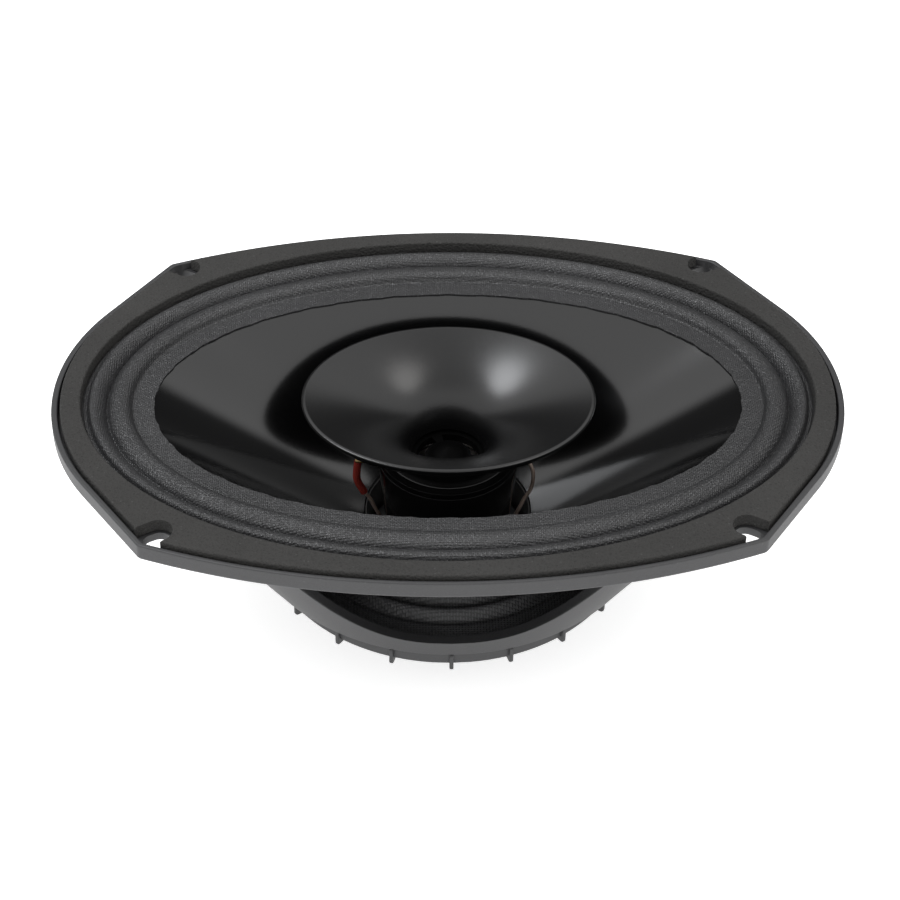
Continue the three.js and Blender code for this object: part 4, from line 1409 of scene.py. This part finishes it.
@dataclass
class Motor:
    """The magnet system under the basket, with its cap and vent."""

    lead_at: float = 12.5
    screw_seat: float = -63.0
    notch_half: float = 4.0
    vent_radius: float = 11.7
    vent_inner: float = 10.9
    vent_low: float = -79.3
    vent_top: float = -78.8
    mesh_pitch: float = 1.15
    mesh_wire: float = 0.15
    mesh_height: float = -79.05
    turnings: tuple[Turning, ...] = (
        Turning("gap_ring", "black_steel", "black_steel",
                ((27.3, -57.7, 0.4), (40, -57.7, 0.5), (40, -62.7, 0.5), (27.3, -62.7, 0.4)), segments=128),
        Turning("yoke_cup", "black_steel", "black_steel",
                ((10, -71.3, 0.3), (29, -71.3, 0.8), (29, -63, 0.4), (34, -63, 0.5), (34, -73, 1.0),
                 (31, -76, 1.0), (10, -76, 0.4)), segments=128),
        Turning("magnet", "nickel_magnet", "nickel_magnet",
                ((15.5, -63, 0.5), (24, -63, 0.5), (24, -71, 0.5), (15.5, -71, 0.5))),
        Turning("pole_plate", "black_steel", "black_steel",
                ((2.9, -57.7, 0.2), (24.7, -57.7, 0.4), (24.7, -62.7, 0.4), (2.9, -62.7, 0.2))),
        Turning("rear_cap", "moulded", "moulded_basket",
                ((12, -80, 0.5), (30, -80, 1.8), (30, -76.3, 0.3), (28, -76.3, 0.3), (28, -78.6, 0.5),
                 (12, -78.6, 0.2)), segments=128),
    )

    def screen(self) -> Shell:
        """The vent's woven wire: two crossed sets of wires, each a sine that dips under its neighbours."""
        inner, outer, low, top = self.vent_inner, self.vent_radius, self.vent_low, self.vent_top
        rim = turned(((inner, low, 0.1), (outer, low, 0.12), (outer, top, 0.12), (inner, top, 0.1)), 64, 2)
        count = int(self.vent_radius / self.mesh_pitch)
        places = (np.arange(-count, count + 1)) * self.mesh_pitch
        wires = []
        for number, place in enumerate(places):
            half = math.sqrt(max((outer - 0.5) ** 2 - place**2, 0.5))
            run = np.linspace(-half, half, 41)
            wave = self.mesh_wire * 0.8 * np.cos(math.pi * run / self.mesh_pitch) * (-1) ** number
            along = np.stack([run, 0 * run + place, self.mesh_height + wave], axis=1)
            across = np.stack([0 * run + place, run, self.mesh_height - wave], axis=1)
            wires.append(wire(along, self.mesh_wire, 5, (0, 0.2, 1)))
            wires.append(wire(across, self.mesh_wire, 5, (0.2, 0, 1)))
        return joined([rim, *wires])

    def make(self) -> None:
        """Build the motor's pieces."""
        made = {t.node: t.make() for t in self.turnings}
        bore = drill(2, -64, -57)
        places = motor_screw_places()
        carve(made["gap_ring"], [(Join.CUT, joined([bore.moved(placing(x, y)) for x, y in places]))])
        bores = joined([bore.moved(placing(x)) for x in (-self.lead_at, self.lead_at)])
        carve(made["pole_plate"], [(Join.CUT, bores)])
        half = self.notch_half
        opening = eased([(-half, 26, 0), (half, 26, 0), (half, 32, 0), (-half, 32, 0)], True)
        carve(made["rear_cap"], [(Join.CUT, slab(opening, -78.4, -75, 0.0))])
        screw = socket_screw(2.7, 1.9, 1.5, 7.4, 1.35).moved(placing(turn=180, axis="X"))
        for number, (x, y) in enumerate(places, 1):
            placed_screw = screw.moved(placing(x, y, self.screw_seat))
            obj = build(f"motor_screw_{number}_piece", placed_screw, "black_zinc")
            settle(obj, Body.FRAME, "black_screw", f"motor_screw_{number}")
        mesh = build("vent_screen_mesh", self.screen(), "black_zinc", 60)
        settle(mesh, Body.FRAME, "black_screw", "vent_screen")


# ------------------------------------------------------------------ treble unit


@dataclass
class TrebleUnit:
    """The fixed treble horn and the compression driver behind it."""

    mouth_x: float = 44.0
    mouth_y: float = 34.3
    mouth_z: float = -1.5
    rim: float = 0.9
    wall: float = 1.6
    throat: float = 11.0
    base: float = -24.0
    straight_share: float = 0.18
    flare_power: float = 2.6
    skirt_radius: float = 21.3
    plug_slots: int = 3
    plug_slot_turn: float = 1.75
    plug_slot_circle: float = 8.4
    roll_middle: float = 13.85
    roll_half: float = 0.65
    roll_foot: float = -31.5
    roll_height: float = 0.5
    bolt_seat: float = -63.0
    turnings: tuple[Turning, ...] = (
        Turning("treble_housing", "gloss_housing", "gloss_housing",
                ((2.9, -46.3, 0.3), (19.6, -46.3, 1.6), (20.5, -38.3, 4.0), (21.5, -26.3, 1.0),
                 (21.5, -24.3, 0.1), (18.2, -24.3, 0.1), (18.2, -44.2, 0.4), (2.9, -44.2, 0.2)),
                segments=128),
        Turning("treble_clamp_ring", "bare_aluminium", "bare_aluminium",
                ((14.6, -31.2, 0.2), (17.9, -31.2, 0.2), (17.9, -27.8, 0.2), (14.6, -27.8, 0.2))),
        Turning("treble_gap_ring", "black_steel", "black_steel",
                ((13.6, -35.2, 0.2), (17.9, -35.2, 0.2), (17.9, -32.2, 0.2), (13.6, -32.2, 0.2))),
        Turning("treble_pole", "black_steel", "black_steel",
                ((0, -35.2, 0), (12.2, -35.2, 0.2), (12.2, -32.6, 0.3), (0, -32.6, 0))),
        Turning("treble_magnet", "nickel_magnet", "nickel_magnet",
                ((0, -39.5, 0), (11.8, -39.5, 0.3), (11.8, -35.5, 0.3), (0, -35.5, 0))),
        Turning("treble_yoke", "black_steel", "black_steel",
                ((2.9, -43.9, 0.2), (17.9, -43.9, 0.6), (17.9, -35.5, 0.2), (14.2, -35.5, 0.2),
                 (14.2, -39.8, 0.3), (2.9, -39.8, 0.2))),
        Turning("treble_post", "bare_aluminium", "bare_aluminium",
                ((2.9, -57.4, 0.3), (9, -57.4, 0.4), (9, -46.6, 0.4), (2.9, -46.6, 0.3))),
        Turning("treble_dome", "titanium", "titanium_foil",
                ((0, -28.7, 0), (5, -29.0, 1.6), (9, -30.0, 1.6), (12.7, -31.5, 0.15), (12.9, -31.8, 0.08),
                 (12.4, -31.8, 0.08), (9, -30.4, 1.6), (5, -29.4, 1.6), (0, -29.1, 0)), Body.DOME),
        Turning("treble_voice_coil", "copper", "copper_wire",
                ((12.75, -36, 0.08), (13.1, -36, 0.08), (13.1, -32.1, 0.08), (12.75, -32.1, 0.08)),
                Body.DOME),
    )

    def bell(self, t: Array | float, mouth: float) -> Array | float:
        """Half-axis of the bell's inside: the throat plus a straight share and a power of t."""
        curved_share = 1 - self.straight_share
        grown = self.straight_share * t + curved_share * t**self.flare_power
        return self.throat + (mouth - self.rim - self.throat) * grown

    def horn(self) -> Shell:
        """The horn: the bell's inside, a rounded rim, and an outside a wall's thickness behind it that
        runs down to the skirt which sits on the housing."""
        angle = ring_angles(192)
        t = np.linspace(0, 1, 40)
        depth = self.mouth_z - self.base
        inner = []
        for s in t:
            rx, ry = self.bell(s, self.mouth_x), self.bell(s, self.mouth_y)
            inner.append((oval(angle, rx, ry, self.base + depth * s), 0.0))
        inner[-1] = (inner[-1][0], 0.25)
        rim = [
            (oval(angle, self.mouth_x, self.mouth_y, self.mouth_z - 0.25), 0.35),
            (oval(angle, self.mouth_x, self.mouth_y, self.mouth_z - 1.25), 0.35),
        ]
        back = []
        for s in np.linspace(0.97, 0.5, 16):
            push = self.wall * (1.1 + 0.2 * s)
            rx = max(self.bell(s, self.mouth_x) + push * 0.8, 17.5)
            ry = max(self.bell(s, self.mouth_y) + push * 0.8, 17.5)
            back.append((oval(angle, rx, ry, self.base + depth * s - push), 0.0))
        foot = [
            (oval(angle, 19.2, 18.6, -18.6), 1.5), (oval(angle, 18.9, 18.6, -22.2), 0.6),
            (oval(angle, self.skirt_radius, self.skirt_radius, -22.4), 0.08),
            (oval(angle, self.skirt_radius, self.skirt_radius, self.base), 0.06),
        ]
        return grid_shell(rounded([*inner, *rim, *back, *foot], True), True, True)

    def phase_plug(self) -> bpy.types.Object:
        """The plug in the throat, with its three curved slots."""
        section = (
            (0, -27.5, 0), (17.9, -27.5, 0.3), (17.9, -25, 0.3), (6, -25, 1.4), (4.4, -23.6, 0.8),
            (2, -22.3, 0.8), (0.4, -21.65, 0.3), (0, -21.6, 0),
        )
        obj = build("phase_plug_piece", turned(section), "matt_plug")
        slots = []
        at = self.plug_slot_circle
        for i in range(self.plug_slots):
            angle = np.linspace(0, self.plug_slot_turn, 24) + i * 2 * math.pi / self.plug_slots
            path = np.stack([at * np.cos(angle), at * np.sin(angle), 0 * angle - 26.5], axis=1)
            slots.append(strap(path, 5.0, 2.8, (0, 0, 1), 0.4))
        carve(obj, [(Join.CUT, joined(slots))])
        return obj

    def suspension(self) -> bpy.types.Object:
        """The dome's half-roll suspension; the shares by how far in it lies are worked out but not applied.
        """
        angle = ring_angles(96)
        r = np.concatenate([np.linspace(13.2, 14.5, 14), np.linspace(14.7, 17.9, 6)])
        arch = np.clip(1 - ((r - self.roll_middle) / self.roll_half) ** 2, 0, 1)
        z = self.roll_foot + self.roll_height * np.sqrt(arch)
        top = [oval(angle, a, a, h) for a, h in zip(r, z)]
        under = [oval(angle, a, a, max(h - 0.3, -31.88)) for a, h in zip(r, z)][::-1]
        shell = grid_shell(np.stack(top + under), True, True)
        obj = build("treble_suspension_piece", shell, "titanium_foil", 60, False)
        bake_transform(obj)
        share = np.clip((14.5 - r) / 1.3, 0, 1)
        weights = np.repeat(np.concatenate([share, share[::-1]]), len(angle)).astype(np.float32)
        return obj

    def tag(self, name: str, x0: float, x1: float, low: float, high: float, hole_x: float) -> None:
        """A flat brass solder tag with a hole.

        Args:
            name: Its pole.
            x0: Its outer end.
            x1: Its inner end.
            low: Its lower face.
            high: Its upper face.
            hole_x: The hole's place.
        """
        outline = eased([(x0, -1.8, 0.7), (x1, -1.8, 0.2), (x1, 1.8, 0.2), (x0, 1.8, 0.7)], True)
        obj = build(f"treble_tag_{name}_piece", slab(outline, low, high, 0.1), "brass_tab")
        carve(obj, [(Join.CUT, drill(0.7, -29, -24, 20).moved(placing(hole_x)))])
        settle(obj, Body.FRAME, "brass", f"treble_tag_{name}")

    def bolt(self) -> None:
        """The long screw that holds the treble unit to the motor."""
        screw = socket_screw(4.5, 3.4, 2.5, 20.6, 2.0).moved(placing(turn=180, axis="X"))
        obj = build("treble_bolt_piece", screw.moved(placing(z=self.bolt_seat)), "black_zinc")
        settle(obj, Body.FRAME, "black_screw", "treble_bolt")

    def make(self) -> None:
        """Build the horn and the driver."""
        settle(build("horn_bell", self.horn(), "satin_horn", 50), Body.FRAME, "satin_horn", "horn")
        settle(self.phase_plug(), Body.FRAME, "satin_horn", "phase_plug")
        for turning in self.turnings:
            turning.make()
        roll = self.suspension()
        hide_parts("treble_suspension")
        self.tag("positive", -28.4, -21.9, -26.4, -25.8, -27.3)
        self.tag("negative", 21.9, 25.2, -27.0, -26.4, 24.2)
        self.bolt()


# ------------------------------------------------------------------ wiring and terminals


@dataclass(frozen=True)
class Lead:
    """A wire laid along given points."""

    node: str
    slot: str
    finish: str
    radius: float
    route: tuple[tuple[float, float, float], ...]

    def make(self) -> bpy.types.Object:
        """Build the wire, without a body yet."""
        path = smooth_path(list(self.route), len(self.route) * 9)
        return build(f"{self.node}_wire", wire(path, self.radius, 14), self.finish, 60)


@dataclass
class Wiring:
    """The terminal board, its tabs, the crossover capacitor and every lead."""

    half_width: float = 16.0
    board_bottom: float = -57.0
    board_top: float = -39.8
    board_front: float = 60.2
    board_back: float = 61.8
    rivet_x: float = 8.0
    rivet_z: float = -43.6
    tab_thickness: float = 0.8
    cap_y: float = 50.0
    cap_z: float = -65.4
    leads: tuple[Lead, ...] = (
        Lead("treble_sleeve_positive", "red_sleeve", "red_sleeve", 1.2,
             ((-27.5, 0, -26.8), (-28, 0, -31), (-27.9, 0, -35), (-25.9, 0, -39.8))),
        Lead("treble_lead_positive", "tinned_braid", "tinned_braid", 0.6,
             ((-25.4, 0, -40.4), (-23.9, 0, -43), (-22.6, 0, -46.4), (-20.6, 0, -50.8), (-18.2, 0, -54.3),
              (-13.6, 0, -56.2), (-12.5, 0, -58.6), (-12.5, 0, -63.4), (-10.6, 1.4, -68.6), (-6.6, 3.4, -73),
              (-5, 7, -76.6), (-3, 15, -77.4), (-1.8, 26, -77.4), (-1.8, 32, -77.4), (-2.4, 36.6, -75),
              (-6, 38.4, -69), (-12.6, 41, -66), (-15.6, 45.4, -65.4), (-14.6, 49.2, -65.4),
              (-11.6, 50, -65.4))),
        Lead("treble_lead_negative", "tinned_braid", "tinned_braid", 0.6,
             ((24.6, 0, -27.4), (26.3, 0, -32.5), (25.9, 0, -38.6), (23.9, 0, -43), (22.6, 0, -46.6),
              (20.6, 0, -51.2), (17.8, 0, -54.6), (13.6, 0, -56.2), (12.5, 0, -58.6), (12.5, 0, -63.4),
              (10.6, 1.4, -68.6), (6.6, 3.4, -73), (5, 7, -76.6), (3, 15, -77.4), (1.8, 26, -77.4),
              (1.8, 32, -77.4), (2.4, 36.6, -75), (5.6, 38.6, -70), (15.5, 44, -66.5), (18.5, 53, -64),
              (18.5, 60.5, -61.5), (14, 65.4, -58), (2, 66.2, -53), (-4, 65.6, -49.6), (-8, 63.9, -47.3))),
        Lead("capacitor_lead", "tinned_braid", "tinned_braid", 0.5,
             ((11.4, 50, -65.4), (13.4, 50.6, -65.2), (14.6, 56, -63), (12.4, 63.6, -58.6), (9.6, 65.2, -53),
              (8, 63.9, -47.3))),
    )

    def board(self) -> None:
        """The laminate board, drilled for its rivets and screws."""
        low, high, half = self.board_bottom, self.board_top, self.half_width
        outline = eased([(-half, low, 1.2), (half, low, 1.2), (half, high, 1.2), (-half, high, 1.2)], True)
        flat = slab(outline, 0.0, self.board_back - self.board_front, 0.15)
        upright = Matrix(((1, 0, 0, 0), (0, 0, -1, self.board_back), (0, 1, 0, 0), (0, 0, 0, 1)))
        obj = build("terminal_board_plate", flat.moved(upright), "laminate_board")
        drills = [self._drill(x, self.rivet_z, 1.35) for x in (-self.rivet_x, self.rivet_x)]
        drills += [self._drill(x, BOARD_SCREW_Z, 1.5) for x in BOARD_SCREWS]
        carve(obj, [(Join.CUT, joined(drills))])
        settle(obj, Body.FRAME, "phenolic", "terminal_board")

    def _drill(self, x: float, z: float, radius: float) -> Shell:
        """A round cutter along Y at the board."""
        return drill(radius, -4, 4).moved(placing(x, self.board_back, z, 90, "X"))

    def tab(self, name: str, x: float, width: float) -> None:
        """A spade tab: a strip that rises on the board and bends away from it.

        Args:
            name: Its pole.
            x: Its place along X.
            width: Its width.
        """
        y = self.board_back + 0.3 + self.tab_thickness / 2
        top = self.rivet_z + 3.1 - self.tab_thickness / 2
        flat = [(y, self.rivet_z - 2.9, 0), (y, top, 1.0), (self.board_back + 9.3, top, 0)]
        line = eased(flat, False, 6)
        path = np.stack([0 * line[:, 0] + x, line[:, 0], line[:, 1]], axis=1)
        shell = strap(path, width, self.tab_thickness, (1, 0, 0), 0.18)
        obj = build(f"terminal_{name}_tab", shell, "brass_tab")
        eye = drill(0.9, -5, 5).moved(placing(x, self.board_back + 6.6, top))
        carve(obj, [(Join.CUT, joined([eye, self._drill(x, self.rivet_z, 1.35)]))])
        settle(obj, Body.FRAME, "brass", f"terminal_{name}")

    def rivet(self, name: str, x: float) -> None:
        """A rivet along Y with a domed head at each end."""
        y0, y1 = self.board_front - 0.9, self.board_back + 2.0
        length = y1 - y0
        section = (
            (0, 0, 0), (1.4, 0.05, 0.5), (2, 0.5, 0.15), (1.95, 0.6, 0.05), (1.1, 0.6, 0.05),
            (1.1, length - 0.6, 0.05), (1.95, length - 0.6, 0.05), (2, length - 0.5, 0.15),
            (1.4, length - 0.05, 0.5), (0, length, 0),
        )
        shell = turned(section, 40).moved(placing(x, y0, self.rivet_z, -90, "X"))
        obj = build(f"terminal_rivet_{name}_piece", shell, "brass_tab")
        settle(obj, Body.FRAME, "brass", f"terminal_rivet_{name}")

    def capacitor(self) -> None:
        """The sleeved crossover capacitor, rolled in near one end, and the strap that holds it."""
        half = 11.0
        section = (
            (0, -half + 0.4, 0), (4.3, -half + 0.4, 0.2), (4.5, -half, 0.3), (5.5, -half, 0.8),
            (5.5, -half + 2.4, 0.5),
            (5.1, -half + 3.0, 0.4), (5.5, -half + 3.6, 0.5), (5.5, half, 0.8), (4.5, half, 0.3),
            (4.3, half - 0.4, 0.2), (0, half - 0.4, 0),
        )
        shell = turned(section, 64).moved(placing(0, self.cap_y, self.cap_z, 90, "Y"))
        body = build("crossover_capacitor_body", shell, "blue_sleeve")
        settle(body, Body.FRAME, "blue_sleeve", "crossover_capacitor")
        r = 5.5 + 0.3 + 0.6
        bow = np.linspace(math.pi, 2 * math.pi, 33)
        line = np.concatenate([
            np.stack([np.full(6, -r), np.linspace(5.9, 0.6, 6)], axis=1),
            np.stack([r * np.cos(bow), r * np.sin(bow)], axis=1),
            np.stack([np.full(6, r), np.linspace(0.6, 5.9, 6)], axis=1),
        ])
        path = np.stack([0 * line[:, 0], self.cap_y + line[:, 0], self.cap_z + line[:, 1]], axis=1)
        obj = build("capacitor_clip_strap", strap(path, 5.0, 1.2, (1, 0, 0), 0.25), "black_sleeve")
        settle(obj, Body.FRAME, "black_sleeve", "capacitor_clip")

    def tinsel(self, name: str, x: float) -> None:
        """A flexible lead from a rivet to the cone."""
        route = (
            (x, 58.7, -43.6), (x, 55, -43.9), (x * 0.95, 49, -44.2), (x * 0.9, 43, -41.6),
            (x * 0.85, 39.2, -36.8), (x * 0.85, 37.8, -33.2),
        )
        obj = Lead(f"tinsel_lead_{name}", "tinned_braid", "tinned_braid", 0.7, route).make()
        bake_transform(obj)
        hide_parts(f"tinsel_lead_{name}")

    def make(self) -> None:
        """Build the board, the terminals, the capacitor and the leads."""
        self.board()
        for name, x, width in (("positive", self.rivet_x, 6.3), ("negative", -self.rivet_x, 4.8)):
            self.tab(name, x, width)
            self.rivet(name, x)
            self.tinsel(name, x)
        screw = socket_screw(2.4, 1.4, 1.2, 4.6, 1.15).moved(placing(turn=-90, axis="X"))
        for number, x in enumerate(BOARD_SCREWS, 1):
            shell = screw.moved(placing(x, self.board_back + 0.3, BOARD_SCREW_Z))
            obj = build(f"board_screw_{number}_piece", shell, "black_zinc")
            settle(obj, Body.FRAME, "black_screw", f"board_screw_{number}")
        self.capacitor()
        for lead in self.leads:
            settle(lead.make(), Body.FRAME, lead.slot, lead.node)


# ------------------------------------------------------------------ studio


@dataclass
class Softbox:
    """A round soft light that faces the speaker."""

    name: str
    azimuth: float
    elevation: float
    size: float
    power: float
    colour: Colour = (1.0, 1.0, 1.0)
    distance: float = 1.1

    def make(self, target: Vector) -> None:
        """Build the light.

        Args:
            target: The point it faces.
        """
        data = bpy.data.lights.new(self.name, "AREA")
        data.shape = "DISK"
        data.size = self.size
        data.energy = self.power
        data.color = self.colour
        a, e = math.radians(self.azimuth), math.radians(self.elevation)
        away = Vector((math.sin(a) * math.cos(e), -math.cos(a) * math.cos(e), math.sin(e)))
        obj = bpy.data.objects.new(self.name, data)
        obj.location = target + away * self.distance
        obj.rotation_euler = away.to_track_quat("Z", "Y").to_euler()
        bpy.context.scene.collection.objects.link(obj)


@dataclass
class Studio:
    """The pale floor, the even surrounding light, the two soft lights and the camera."""

    elevation: float = 40.74
    azimuth: float = -1.70
    distance: float = 0.6481
    roll: float = 0.625
    lens: float = 89.5
    target: tuple[float, float, float] = (-0.00022, -0.02665, 0.080)
    world_strength: float = 1.45
    sky_tilt: float = 0.3
    sky: tuple[tuple[float, float], ...] = (
        (0.0, 0.06), (0.28, 0.08), (0.41, 0.95), (0.84, 0.95), (1.0, 0.62),
    )
    lights: tuple[Softbox, ...] = (
        Softbox("soft_left", -98.0, 61.0, 0.48, 6.0, (0.95, 0.97, 1.0)),
        Softbox("soft_right", 72.0, 61.0, 0.48, 2.0, (1.0, 0.98, 0.96)),
    )

    def floor(self) -> None:
        """A large pale floor at the rear face's height, with a faint mottle."""
        side = np.linspace(-3.0, 3.0, 13)
        x, y = np.meshgrid(side, side, indexing="ij")
        grid = np.stack([x, y, 0 * x], axis=2)
        shell = grid_shell(grid, False, False)
        mesh = bpy.data.meshes.new("floor")
        mesh.from_pydata(shell.points.tolist(), [], shell.quads.tolist())
        made, tree, shader = start_material("pale_floor")
        drift = placed(tree, Effect.DRIFT, Scale=3.0, Spread=0.2)
        colour = tree.mix(drift.outputs["Factor"], rgba((0.90, 0.90, 0.90)), rgba((0.93, 0.93, 0.93)))
        tree.feed(shader.inputs["Base Color"], colour)
        tree.feed(shader.inputs["Emission Color"], colour)
        shader.inputs["Emission Strength"].default_value = 0.65
        shader.inputs["Roughness"].default_value = 0.9
        shader.inputs["Specular IOR Level"].default_value = 0.1
        mesh.materials.append(made)
        obj = bpy.data.objects.new("floor", mesh)
        bpy.context.scene.collection.objects.link(obj)
        if mesh.polygons[0].normal.z < 0:
            mesh.flip_normals()

    def world(self) -> None:
        """White light from all round, dim near the horizon and a little weaker overhead.

        The level follows the direction's height less the tilt times its Y, so that the dim part rises
        higher behind the speaker than in front of it.
        """
        world = bpy.data.worlds.new("tent")
        world.use_nodes = True
        back = world.node_tree.nodes["Background"]
        tree = Tree(world.node_tree)
        where = tree.node("ShaderNodeTexCoord")
        height = tree.node("ShaderNodeSeparateXYZ", Vector=where.outputs["Generated"])
        tilted = tree.sum("MULTIPLY_ADD", height.outputs["Y"], -self.sky_tilt, height.outputs["Z"])
        ramp = tree.node("ShaderNodeValToRGB", Fac=tilted)
        ramp.color_ramp.interpolation = "EASE"
        stops = ramp.color_ramp.elements
        while len(stops) < len(self.sky):
            stops.new(0.5)
        for stop, (at, level) in zip(stops, self.sky):
            stop.position = at
            stop.color = rgba((level, level, level))
        tree.tree.links.new(ramp.outputs["Color"], back.inputs["Color"])
        back.inputs["Strength"].default_value = self.world_strength
        bpy.context.scene.world = world
        bpy.context.scene.view_settings.view_transform = "Standard"

    def camera(self) -> None:
        """The camera, aimed along its azimuth and elevation and rolled a little."""
        e, a, roll = (math.radians(v) for v in (self.elevation, self.azimuth, self.roll))
        back = Vector((math.sin(a) * math.cos(e), -math.cos(a) * math.cos(e), math.sin(e)))
        right = Vector((math.cos(a), math.sin(a), 0.0))
        up = back.cross(right)
        across = right * math.cos(roll) + up * math.sin(roll)
        above = up * math.cos(roll) - right * math.sin(roll)
        turn = Matrix((across, above, back)).transposed().to_4x4()
        data = bpy.data.cameras.new("camera")
        data.lens = self.lens
        data.sensor_width = 36.0
        obj = bpy.data.objects.new("camera", data)
        obj.matrix_world = Matrix.Translation(Vector(self.target) + back * self.distance) @ turn
        bpy.context.scene.collection.objects.link(obj)
        bpy.context.scene.camera = obj

    def make(self) -> None:
        """Build the floor, the light and the camera."""
        self.camera()
        self.floor()
        self.world()
        for light in self.lights:
            light.make(Vector((0.0, 0.0, 0.06)))


def main() -> None:
    """Build the studio and then each sub-assembly."""
    logging.basicConfig(level=logging.INFO, format="%(name)s: %(message)s")
    Studio().make()
    shape = FlangeShape()
    for assembly in (Basket(shape), FrontGasket(shape), ConeAssembly(), Motor(), TrebleUnit(), Wiring()):
        assembly.make()


if __name__ == "__main__":
    main()
